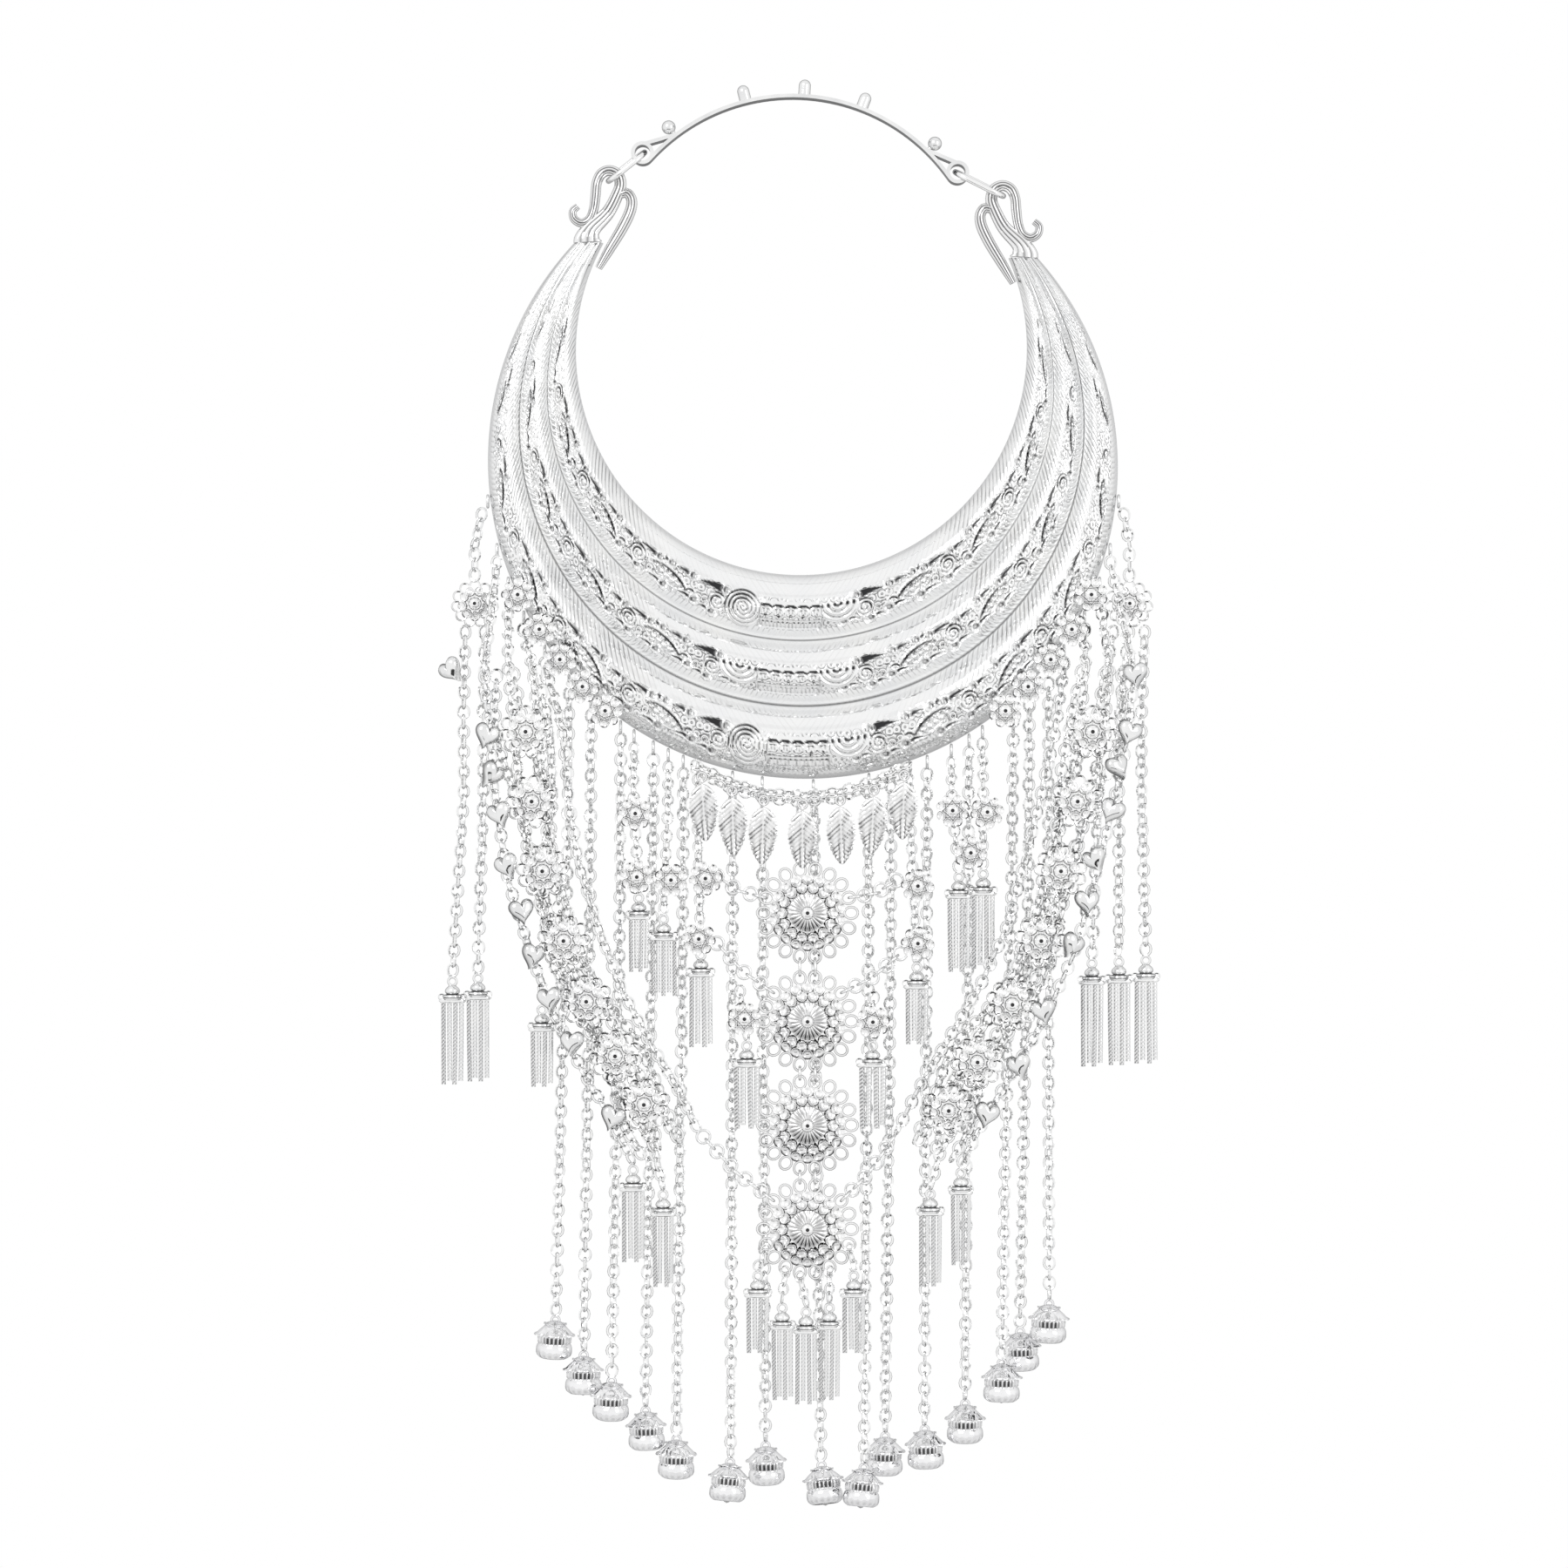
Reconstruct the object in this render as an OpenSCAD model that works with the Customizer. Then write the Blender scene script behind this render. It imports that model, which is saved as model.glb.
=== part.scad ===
// Festival collar: three nested hollow crescents, a nape arc linked to hooks at the collar's
// ends, and a hanging curtain of chains, flower plates, leaves, hearts, tassels and bells.
// Millimetres. +Z is up and the front faces -Y. The origin is under the middle of the nape arc,
// where the collar rests on the back of the neck.

/* [Crescents] */
// Half width of the collar's two ends on the neck side, left then right
end_half_width = [66, 69]; // [62:0.5:72]
// Drop of the two ends below the nape, left then right
end_drop = [48, 53]; // [46:0.5:55]
// Width of one crescent at its end
end_band_width = 3.3; // [3:0.1:3.6]
// Drop of the neck edge at the front middle
neck_drop = 158.5; // [152:0.5:162]
// Width of each crescent at the front middle, inner one first
band_widths = [22, 21.5, 24.5]; // [20:0.5:26]
// Depth of a crescent at the front middle
band_depth = 11; // [9:0.5:12]
// Depth of a crescent at its end
end_depth = 4; // [3.6:0.1:4.4]
// Thickness of the crescents' sheet
sheet = 0.8; // [0.6:0.1:0.8]
// Clear space between two crescents
band_gap = 0.2; // [0.1:0.05:0.3]

/* [Nape arc] */
// Inside radius of the arc
arc_radius = 63.3; // [62:0.1:64]
// Thickness of the arc's strip
strip = 1.2; // [1:0.1:1.4]
// Depth of the arc's strip from front to back
strip_depth = 6.6; // [6:0.1:7]
// Half angle of the arc
arc_half_angle = 51.5; // [50:0.5:53]
// Turn of the arc as it hangs, right end down
arc_tilt = 3.5; // [2:0.5:4]
// Radius of the holes in the arc's eyes
eye_hole = 2.6; // [2.5:0.1:2.8]
// Radius of the round-topped pegs
peg_radius = 2; // [1.6:0.1:2.3]
// Radius of the balls
ball_radius = 2.3; // [2:0.1:2.6]

/* [Chains] */
// Radius to the middle of a chain link's wire
link_radius = 2.2; // [2:0.05:2.3]
// Radius of a chain link's wire
link_wire = 0.4; // [0.3:0.05:0.45]
// Pitch of two links that hang in each other
link_pitch = 3.4; // [3.3:0.05:3.45]
// Radius of a plain tube that stands for a chain
chain_radius = 2.5; // [2.3:0.1:2.6]
// Clear space between a piece and what carries it
seat = 0.2; // [0.15:0.05:0.3]

/* [Hanging pieces] */
// Radius of a bell's brim
bell_brim = 7.2; // [6.5:0.1:7.3]
// Height of a bell without its ring
bell_height = 13; // [12:0.5:13.5]
// Length of a leaf's blade
leaf_length = 19; // [17:0.5:20]
// Width of a leaf's blade
leaf_width = 8; // [7:0.5:9]
// Radius from a rosette's middle to its outer loops
rosette_ring = 14.6; // [14:0.1:14.8]
// Number of loops round a rosette
rosette_loops = 18; // [18:1:18]
// Width of a heart
heart_width = 8.6; // [7.5:0.1:9]
// Thickness of a heart
heart_depth = 3; // [2:0.5:3]

/* [Hidden] */
LEFT = -1;
RIGHT = 1;
bell_count = 15;
rosette_count = 4;
function numbered(name, count) = [for (i = [1:count]) str(name, "_", i)];

silver = [0.9, 0.91, 0.93];
bright = [0.97, 0.97, 0.98];
pale = [0.82, 0.84, 0.87];

// Swept surfaces. A ring is a list of points round a section, and all rings are as long.
function side_faces(count, rows, base, turned) = [
    for (i = [0:rows - 2])
        for (j = [0:count - 1])
            let (
                a = base + i * count + j,
                b = base + i * count + (j + 1) % count,
                c = b + count,
                d = a + count
            )
            each turned ? [[a, c, b], [a, d, c]] : [[a, b, c], [a, c, d]]
];
function end_face(count, base, turned) =
    [for (j = [0:count - 1]) base + (turned ? count - 1 - j : j)];
function joined(rings) = [for (ring = rings) each ring];

module solid_sweep(rings) {
    count = len(rings[0]);
    rows = len(rings);
    polyhedron(
        points = joined(rings),
        faces = concat(
            side_faces(count, rows, 0, true),
            [end_face(count, 0, false), end_face(count, (rows - 1) * count, true)]
        ),
        convexity = 6
    );
}

// An open-ended tube with a wall: outer rings, inner rings and a flat rim at each end
module hollow_sweep(outer, inner) {
    count = len(outer[0]);
    rows = len(outer);
    shift = rows * count;
    last = (rows - 1) * count;
    rim = [
        for (j = [0:count - 1])
            let (k = (j + 1) % count)
            each [
                [j, k, shift + k],
                [j, shift + k, shift + j],
                [last + j, shift + last + k, last + k],
                [last + j, shift + last + j, shift + last + k]
            ]
    ];
    polyhedron(
        points = joined(concat(outer, inner)),
        faces = concat(
            side_faces(count, rows, 0, true),
            side_faces(count, rows, shift, false),
            rim
        ),
        convexity = 8
    );
}

function unit(v) = v / norm(v);
function direction(route, i) =
    unit(route[min(i + 1, len(route) - 1)] - route[max(i - 1, 0)]);

// Oval section square to the route: wide radius across, deep radius from front to back
function rod_ring(route, i, wide, deep, sides) =
    let (
        along = direction(route, i),
        across = unit(cross(along, [0, 1, 0])),
        front = cross(across, along)
    )
    [for (j = [0:sides - 1])
        let (t = 360 * j / sides)
        route[i] + across * wide * cos(t) - front * deep * sin(t)];

module tube(route, radius = chain_radius, sides = 8) {
    solid_sweep([for (i = [0:len(route) - 1]) rod_ring(route, i, radius, radius, sides)]);
}

// The collar's four long edges. Each is an arc from its lowest point to the collar's end, and
// edge 0 is at the neck.
edge_shift = [-0.5, -0.5, 0.5, 1.5];
function edge_bottom(i) = -neck_drop - (i > 0 ? band_widths[0] : 0)
    - (i > 1 ? band_widths[1] : 0) - (i > 2 ? band_widths[2] : 0);
function side_index(side) = side < 0 ? 0 : 1;
function edge_end_x(i, side) =
    end_half_width[side_index(side)] + i * end_band_width - side * edge_shift[i];
function edge_rise(i, side) = -end_drop[side_index(side)] - edge_bottom(i);
function edge_radius(i, side) =
    (pow(edge_end_x(i, side), 2) + pow(edge_rise(i, side), 2)) / (2 * edge_rise(i, side));
function edge_middle(i, side) = edge_bottom(i) + edge_radius(i, side);
function edge_angle(i, side) =
    atan2(edge_end_x(i, side), edge_radius(i, side) - edge_rise(i, side));

// Point on an edge, s running from -1 at the left end to 1 at the right end
function edge_point(i, s) =
    let (
        side = s < 0 ? LEFT : RIGHT,
        turn = s * edge_angle(i, side),
        radius = edge_radius(i, side)
    )
    [edge_shift[i] + radius * sin(turn), 0, edge_middle(i, side) - radius * cos(turn)];

back_y = 2;
section_points = 10;
station_count = 40;

// Section of a crescent: a flat back and a half-oval front
function band_section(band, s, inset) =
    let (
        inner = edge_point(band, s),
        outer = edge_point(band + 1, s),
        full = norm(outer - inner),
        across = (outer - inner) / full,
        share = (full - end_band_width) / (band_widths[band] - end_band_width),
        depth = end_depth + (band_depth - end_depth) * share - 2 * inset,
        width = full - band_gap - 2 * inset,
        start = inner + across * (band_gap / 2 + inset) + [0, back_y - inset, 0],
        front_points = section_points - 2
    )
    [for (k = [0:section_points - 1])
        let (t = 180 * k / front_points)
        k > front_points
            ? start + across * width / 2
            : start + across * width * (1 - cos(t)) / 2 - [0, depth * sin(t), 0]];

module crescent(band) {
    color(silver)
    hollow_sweep(
        [for (i = [0:station_count]) band_section(band, 2 * i / station_count - 1, 0)],
        [for (i = [0:station_count]) band_section(band, 2 * i / station_count - 1, sheet)]
    );
}

// End hooks. Columns: x outwards from the collar's end, z up from it, half width of the rod
HOOK_ROD = [
    [0.2, 0.25, 4.7],
    [0.2, 1.3, 4.6],
    [-0.2, 2.9, 3.8],
    [-1.6, 5.2, 2.9],
    [-6.4, 10, 2.3],
    [-9.4, 15.5, 2.1],
    [-10.7, 19.5, 2],
    [-9.7, 22.8, 1.9],
    [-7, 24.1, 1.8],
    [-4.3, 23, 1.8],
    [-2.8, 20, 1.7],
    [-2.4, 16, 1.7],
    [-1.8, 11.5, 1.6],
    [-0.4, 8, 1.5],
    [2.2, 6.6, 1.5],
    [4.7, 7.9, 1.4],
    [5.2, 10.5, 1.3],
    [3.5, 12.2, 1.1]
];
// The short rod beside it, from its free end on the neck side up and over into the main rod
HOOK_INNER = [
    [-3.4, -8.4, 1.2],
    [-7, -2.2, 1.7],
    [-11.3, 5, 1.9],
    [-13.9, 10.5, 1.9],
    [-14.4, 14.2, 1.8],
    [-12.9, 16.6, 1.7],
    [-10.6, 16.2, 1.5]
];
rod_depth = 1.6;
hook_foot = 10;
function hook_origin(side) =
    [side * (end_half_width[side_index(side)] + 1.5 * end_band_width), 0,
     -end_drop[side_index(side)]];
function hook_route(table, side) =
    [for (row = table) hook_origin(side) + [side * row[0], 0, row[1]]];

module hook_rod(table, side) {
    route = hook_route(table, side);
    rings = [for (i = [0:len(route) - 1])
        rod_ring(route, i, table[i][2], min(rod_depth, table[i][2]), hook_foot)];
    solid_sweep(rings);
}

module end_hook(side) {
    color(bright) {
        hook_rod(HOOK_ROD, side);
        hook_rod(HOOK_INNER, side);
    }
}

// Nape arc, drawn flat in x and z and given its depth along y
arc_middle = [-3, 0, -sqrt(arc_radius * arc_radius - 9)];
eye_outside = eye_hole + strip;
eye_centre_radius = arc_radius + eye_outside;
peg_angles = [-17.5, 0, 17.5];
peg_height = 3.8;
ball_angles = [-41, 41];
ball_lift = 3.8;
strap_turn = 11;
function on_arc(angle, radius) =
    arc_middle + [radius * sin(angle + arc_tilt), 0, radius * cos(angle + arc_tilt)];
function polar(angle, radius) = [radius * sin(angle), radius * cos(angle)];

module arc_outline() {
    difference() {
        circle(r = arc_radius + strip, $fn = 160);
        circle(r = arc_radius, $fn = 160);
        polygon([
            [0, 0],
            polar(arc_half_angle, 2 * arc_radius),
            [2 * arc_radius, -2 * arc_radius],
            [-2 * arc_radius, -2 * arc_radius],
            polar(-arc_half_angle, 2 * arc_radius)
        ]);
    }
    for (side = [LEFT, RIGHT]) {
        eye = polar(side * arc_half_angle, eye_centre_radius);
        far = polar(side * arc_half_angle, eye_centre_radius + eye_outside - strip / 2);
        near = polar(side * (arc_half_angle - strap_turn), arc_radius + strip / 2);
        normal = unit([far[1] - near[1], near[0] - far[0]]) * strip / 2;
        difference() {
            union() {
                translate(eye) circle(r = eye_outside, $fn = 48);
                polygon([far - normal, far + normal, near + normal, near - normal]);
            }
            translate(eye) circle(r = eye_hole, $fn = 48);
        }
    }
}

module arc_studs() {
    for (angle = peg_angles) {
        rotate([0, angle, 0]) {
            translate([0, 0, arc_radius + strip / 2]) cylinder(h = peg_height, r = peg_radius, $fn = 32);
            translate([0, 0, arc_radius + strip / 2 + peg_height]) sphere(r = peg_radius, $fn = 32);
        }
    }
    for (angle = ball_angles) {
        rotate([0, angle, 0]) {
            translate([0, 0, arc_radius + strip / 2]) cylinder(h = ball_lift, r = 0.8, $fn = 24);
            translate([0, 0, arc_radius + strip / 2 + ball_lift]) sphere(r = ball_radius, $fn = 32);
        }
    }
}

module nape_arc() {
    color(silver)
    translate(arc_middle) rotate([0, arc_tilt, 0]) {
        rotate([90, 0, 0]) linear_extrude(height = strip_depth, center = true) arc_outline();
        arc_studs();
    }
}

// Oval link, long along x and as wide as the arc's strip needs along y
nape_wire = 0.95;
nape_width = strip_depth / 2 + nape_wire + 0.7;
link_sag = 0.8;
function hook_hang(side) = hook_origin(side) + [side * -6.7, 0, 20.6];

module oval_link(reach) {
    straight = reach - 2 * nape_width;
    for (turn = [0, 180]) {
        rotate([0, 0, turn]) {
            translate([straight / 2, 0, 0]) rotate([0, 0, -90])
                rotate_extrude(angle = 180, $fn = 48)
                    translate([nape_width, 0]) circle(r = nape_wire, $fn = 20);
            translate([-straight / 2, nape_width, 0]) rotate([0, 90, 0])
                cylinder(h = straight, r = nape_wire, $fn = 20);
        }
    }
}

module nape_link(side) {
    eye = on_arc(side * arc_half_angle, eye_centre_radius);
    hang = hook_hang(side);
    along = unit(eye - hang);
    top = eye + along * link_sag;
    middle = (top + hang) / 2;
    color(bright)
    translate(middle) rotate([0, -atan2(along[2], along[0]), 0]) rotate([side * -10, 0, 0])
        oval_link(norm(top - hang));
}

// Small rings under the outer crescent's rim
ring_wire = 0.45;
ring_radius = 1.9;
rim_edge = 3;
function rim_z(x) =
    let (side = x < edge_shift[rim_edge] ? LEFT : RIGHT, radius = edge_radius(rim_edge, side))
    edge_middle(rim_edge, side) - sqrt(pow(radius, 2) - pow(x - edge_shift[rim_edge], 2));
function flank_x(side, z) =
    edge_shift[rim_edge] + side * sqrt(pow(edge_radius(rim_edge, side), 2)
        - pow(z - edge_middle(rim_edge, side), 2));
// A place on the rim is x and z. Its ring faces sideways and stands off it square to the rim.
function on_rim(x) = [x, rim_z(x)];
function on_flank(side, z) = [flank_x(side, z), z];
function ring_centre(place) =
    let (
        side = place[0] < edge_shift[rim_edge] ? LEFT : RIGHT,
        middle = [edge_shift[rim_edge], edge_middle(rim_edge, side)],
        away = unit(place - middle)
    )
    place + away * (ring_radius * abs(away[1]) + ring_wire + seat - band_gap / 2);
function under_ring(place, y) =
    let (centre = ring_centre(place))
    [centre[0], y, centre[1] - ring_radius - ring_wire - seat];

// Bell chains. Columns: x at the rim, x of the bell, z of the bell's brim, y of the bell
BELL_DROPS = [
    [-76.1, -82, -413, 4],
    [-68.8, -72.5, -424.5, 1.5],
    [-59, -62.9, -432.1, -7],
    [-48.3, -52, -443, 1.5],
    [-38.5, -41.5, -452, -2],
    [-22.4, -23.5, -459, -7],
    [-12.7, -12, -455, 4],
    [3.9, 6.5, -461, 0],
    [22, 20.8, -461, -5.5],
    [29.3, 28, -452, 5],
    [41, 41, -449, 0],
    [54.7, 54.5, -440.5, 0],
    [69.4, 66.5, -426, -7],
    [74.7, 73, -417, 4.5],
    [81.1, 82.5, -407, -1.5]
];
chain_y = 2.2;
bell_stretch = bell_height / 13;
brim_drop = 7.6 * bell_stretch;
bell_ring = 1.3;
function bell_place(i) = [BELL_DROPS[i][1], BELL_DROPS[i][3], BELL_DROPS[i][2]];
function bell_top(i) = bell_place(i) + [0, 0, brim_drop];
function bell_route(i) =
    let (
        top = under_ring(on_rim(BELL_DROPS[i][0]), chain_y),
        foot = bell_top(i) + [0, 0, seat],
        drop = top[2] - foot[2],
        lean = top[0] - foot[0]
    )
    [
        top,
        top - [lean * 0.15, 0, drop * 0.3],
        top - [lean * 0.6, 0, drop * 0.65],
        foot
    ];

module bell_chain(i) {
    color(silver) tube(bell_route(i));
}

// Bell: ring, domed cap with a flared brim, crimped neck, cup with a turned lip, and a clapper
clapper_radius = 1.2;
// Columns: radius, depth below the bell's top. The outside runs down, then the inside up.
BELL_PROFILE = [
    [0, 2.2],
    [2.2, 2.5],
    [4.2, 3.9],
    [5.4, 5.9],
    [bell_brim, 7.3],
    [bell_brim, 7.9],
    [5, 7.7],
    [4.9, 11],
    [5.3, 11.8],
    [5.7, 14.6],
    [5.1, 14.6],
    [4.7, 11.8],
    [4.3, 10.8],
    [4.3, 6.8],
    [3.4, 4.6],
    [0, 3.2]
];

module bell_shell() {
    rotate_extrude($fn = 48) polygon([for (row = BELL_PROFILE) [row[0], -row[1] * bell_stretch]]);
}

module bell(i) {
    color(silver)
    translate(bell_top(i)) {
        bell_shell();
        translate([0, 0, -bell_ring - ring_wire]) rotate([90, 0, 0])
            rotate_extrude($fn = 32) translate([bell_ring, 0]) circle(r = ring_wire, $fn = 16);
    }
    color(bright)
    translate(bell_top(i)) {
        translate([0, 0, -13.8 * bell_stretch]) {
            cylinder(h = 10.4 * bell_stretch, r = 0.4, $fn = 16);
            sphere(r = clapper_radius, $fn = 24);
        }
    }
}

// Rolo link, its wheel standing in the plane of the two directions given
module link_ring(place, along, face, radius = link_radius, wire = link_wire) {
    axis = unit(cross(along, face));
    translate(place) rotate([0, acos(axis[2]), atan2(axis[1], axis[0])])
        rotate_extrude($fn = 32) translate([radius, 0]) circle(r = wire, $fn = 16);
}

// Links hanging in each other along a route of straight steps, from its first point
function route_length(route, upto) =
    upto == 0 ? 0 : route_length(route, upto - 1) + norm(route[upto] - route[upto - 1]);
function route_step(route, reach, i = 1) =
    i >= len(route) - 1 || route_length(route, i) >= reach ? i : route_step(route, reach, i + 1);
function route_point(route, reach) =
    let (i = route_step(route, reach), before = route_length(route, i - 1))
    route[i - 1] + unit(route[i] - route[i - 1]) * (reach - before);

module link_run(route) {
    total = route_length(route, len(route) - 1);
    count = ceil((total - 2 * link_radius) / link_pitch) + 1;
    pitch = (total - 2 * link_radius) / (count - 1);
    for (k = [0:count - 1]) {
        reach = link_radius + k * pitch;
        i = route_step(route, reach);
        along = unit(route[i] - route[i - 1]);
        upright = unit(cross(along, [0, 1, 0]));
        link_ring(route_point(route, reach), along, k % 2 == 0 ? [0, 1, 0] : upright);
    }
}

// Tassel: a ring, a bead cap over a flat bar, and flat strands under the bar
strand_depth = 1.2;
module tassel(strands, width, length) {
    pitch = width / strands;
    translate([0, 0, -ring_radius - ring_wire]) rotate([90, 0, 0])
        rotate_extrude($fn = 24) translate([ring_radius - 0.5, 0]) circle(r = ring_wire, $fn = 12);
    translate([0, 0, -5.8]) sphere(r = 2.4, $fn = 32);
    translate([0, 0, -8.4]) cylinder(h = 1.6, r = 3.2, $fn = 32);
    translate([-width / 2, -strand_depth, -9.4]) cube([width, 2 * strand_depth, 1.4]);
    for (k = [0:strands - 1]) {
        extra = k % 2 == 0 ? 0 : -1.2;
        translate([-width / 2 + (k + 0.14) * pitch, -strand_depth / 2, -9 - length + extra])
            cube([pitch * 0.72, strand_depth, length - extra]);
    }
}
tassel_ring_top = 0.5;

// Side chains hang from a small plate on each flank. Columns: x at the plate, x half way, x at
// the foot, z of the foot
SIDE_CHAINS_LEFT = [
    [-112.2, -112.8, -116.5, -292],
    [-105.8, -106.2, -108, -291]
];
SIDE_CHAINS_RIGHT = [
    [104.3, 99.5, 97, -286],
    [109.5, 106, 106, -285.5],
    [114.7, 113.5, 115, -285]
];
side_y = 4;
side_plate_x = [-109, 109.5];
side_plate_z = -168;
side_plate_radius = 7.7;
side_rim_z = -134;
side_tassel_length = 28;
function side_route(row) =
    let (
        top = [row[0], side_y, side_plate_z - side_plate_radius - seat],
        foot = [row[2], side_y, row[3]]
    )
    [top, [row[1], side_y, top[2] - 30], [row[1], side_y, foot[2] + 60], foot];

module side_chains(table, side) {
    // The upper chain keeps clear of the rim's widest place
    top = under_ring(on_flank(side, side_rim_z), chain_y) + [side * 1.8, 0, 0];
    foot = [side_plate_x[side_index(side)], side_y, side_plate_z + side_plate_radius + seat];
    color(silver) {
        tube([top, [foot[0], side_y, (top[2] + foot[2]) / 2], foot]);
        for (row = table) tube(side_route(row));
    }
}

module side_tassels(table) {
    color(pale)
    for (row = table)
        translate([row[2], side_y, row[3] - seat + tassel_ring_top]) tassel(4, 8, side_tassel_length);
}

// Garlands: four chains side by side. The middle line's points are x and z.
GARLAND_LEFT = [
    [-93, -190], [-91, -211], [-89, -234], [-85.5, -257], [-78.5, -280],
    [-71, -300], [-61.5, -318], [-52, -334], [-45, -348]
];
GARLAND_RIGHT = [
    [98, -190], [96, -211], [91, -234], [85.5, -257], [79, -280],
    [69.5, -301], [58, -320], [48.5, -336], [42, -349]
];
// Heights on the rim where a garland's chains start, outer chain first
GARLAND_TOPS = [-150, -161, -172, -183];
garland_top_y = -1.5;
strand_offsets = [12, 4, -4, -12];
garland_y = -11;
function line_side(line, i, side) =
    let (
        a = line[max(i - 1, 0)],
        b = line[min(i + 1, len(line) - 1)],
        along = unit(b - a)
    )
    [side * -along[1], side * along[0]];
function strand_point(line, side, strand, i) =
    let (p = line[i] + line_side(line, i, side) * strand_offsets[strand])
    [p[0], garland_y, p[1]];
// Where a swag or tassel meets the lower end of a garland's chain
function strand_tip(line, side, strand) =
    let (
        last = len(line) - 1,
        along = unit(line[last] - line[last - 1]) * (seat + link_wire + 0.15)
    )
    strand_point(line, side, strand, last) + [along[0], 0, along[1]];
// The second chain runs on to a tassel, left then right
GARLAND_TAILS = [[-45.8, -11, -362], [42.6, -11, -361.8]];
top_stub = 2;
function garland_route(line, side, strand) =
    let (
        top = under_ring(on_flank(side, GARLAND_TOPS[strand]), garland_top_y)
    )
    concat(
        [top, top - [0, 0, top_stub]],
        [for (i = [strand == 3 ? 1 : 0:len(line) - 1]) strand_point(line, side, strand, i)],
        strand == 1 ? [GARLAND_TAILS[side_index(side)]] : []
    );

module garland(line, side) {
    color(silver)
    for (strand = [0:3]) tube(garland_route(line, side, strand));
}

// Flower plate: scalloped disc with a dome, its back on y = 0 and its front towards -y
module flower_plate(radius, petals, thick) {
    petal = radius * sin(180 / petals) * 1.05;
    dome = min(radius * 0.28, thick + 0.3);
    rotate([90, 0, 0]) {
        linear_extrude(height = thick) {
            circle(r = radius - petal, $fn = 48);
            for (k = [0:petals - 1])
                rotate(360 * k / petals) translate([radius - petal, 0]) circle(r = petal, $fn = 24);
        }
        translate([0, 0, thick / 2]) cylinder(h = thick / 2 + 0.8, r = radius * 0.5, $fn = 40);
        translate([0, 0, thick + 0.4]) sphere(r = dome, $fn = 32);
    }
}

// Rim flowers. Columns: x, z, y of the back
RIM_FLOWERS_LEFT = [
    [-94, -165.5, -6.8],
    [-86.8, -177, -7.3],
    [-80, -187, -7.4],
    [-72.5, -196, -8.1],
    [-65, -204, -8.1]
];
RIM_FLOWERS_RIGHT = [
    [96, -165.5, -6.8],
    [89.5, -177, -7.1],
    [82.5, -187, -7.2],
    [75, -196, -8.1],
    [67.5, -204, -8.1]
];
rim_flower_radius = 5.4;
garland_flower_radius = 8.6;
garland_flower_y = garland_y - chain_radius - seat;
// Garland flowers sit on the middle line between its first and last points
module flowers(line, rim, side) {
    color(bright) {
        translate([side_plate_x[side_index(side)], side_y + 0.5, side_plate_z])
            flower_plate(side_plate_radius, 10, 1);
        for (place = TIER_FLOWERS)
            if (place[0] * side > 0)
                translate([place[0], tier_flower_y, place[1]]) flower_plate(tier_flower_radius, 8, 0.9);
        for (place = rim)
            translate([place[0], place[2], place[1]]) flower_plate(rim_flower_radius, 8, 0.9);
        for (i = [1:len(line) - 2])
            translate([line[i][0], garland_flower_y, line[i][1]])
                flower_plate(garland_flower_radius, 10, 1);
    }
}

// Hearts. Columns: x, z, turn, y of the back
HEARTS_LEFT = [
    [-116.5, -190, 40, 1.1],
    [-104, -212, -20, -13.7],
    [-102.5, -224.5, -40, -13.7],
    [-99.5, -238, 20, -14.9],
    [-97, -255, 25, -14.9],
    [-92.5, -270, 10, -13.7],
    [-89, -284.5, -15, -14.9],
    [-83, -299, 10, -14.9],
    [-75.5, -313.5, 0, -13.7],
    [-62.5, -338, -20, -14.9]
];
HEARTS_RIGHT = [
    [110.5, -192, 10, -13.7],
    [108, -211, -20, -14.9],
    [104, -222.5, 25, -13.7],
    [102.5, -237, -25, -14.9],
    [97, -253, 30, -13.7],
    [94, -267, 0, -14.9],
    [89, -281, -30, -14.9],
    [80, -303, 15, -14.9],
    [72, -321, 20, -13.7],
    [61, -337, -15, -14.9]
];
module heart() {
    lobe = heart_width * 0.27;
    rotate([90, 0, 0]) linear_extrude(height = heart_depth) {
        for (side = [LEFT, RIGHT])
            translate([side * (heart_width / 2 - lobe), lobe]) circle(r = lobe, $fn = 32);
        polygon([
            [-heart_width / 2 + 0.1, lobe * 0.75],
            [0, -heart_width * 0.62],
            [heart_width / 2 - 0.1, lobe * 0.75],
            [0, lobe * 1.3]
        ]);
    }
}
module hearts(table) {
    color(bright)
    for (row = table) translate([row[0], row[3], row[1]]) rotate([0, row[2], 0]) heart();
}

// Leaf chain and its leaves
leaf_chain_y = -5.1;
leaf_chain_drop = 233;
leaf_chain_sag = 9;
LEAF_X = [-33, -23, -12.5, 0.3, 12.8, 24, 34];
leaf_plane = 4.2;
leaf_ring = 1.5;
leaf_wire = 0.4;
leaf_eye = 1.05;
function leaf_chain_z(x) = -leaf_chain_drop + leaf_chain_sag * pow(x / 33, 2);
leaf_chain_points = [-36, -24, -12, 0, 12, 24, 36];

module leaf_chain() {
    color(silver) tube([for (x = leaf_chain_points) [x, leaf_chain_y, leaf_chain_z(x)]]);
}

module leaf_blade() {
    half = leaf_length / 2;
    curve = (half * half + pow(leaf_width / 2, 2)) / leaf_width;
    offset_x = curve - leaf_width / 2;
    rotate([90, 0, 0]) {
        linear_extrude(height = 0.8, center = true) intersection() {
            translate([-offset_x, 0]) circle(r = curve, $fn = 96);
            translate([offset_x, 0]) circle(r = curve, $fn = 96);
        }
    }
    translate([0, -0.4, -half + 1.5]) cylinder(h = leaf_length - 2, r = 0.45, $fn = 16);
}

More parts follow.
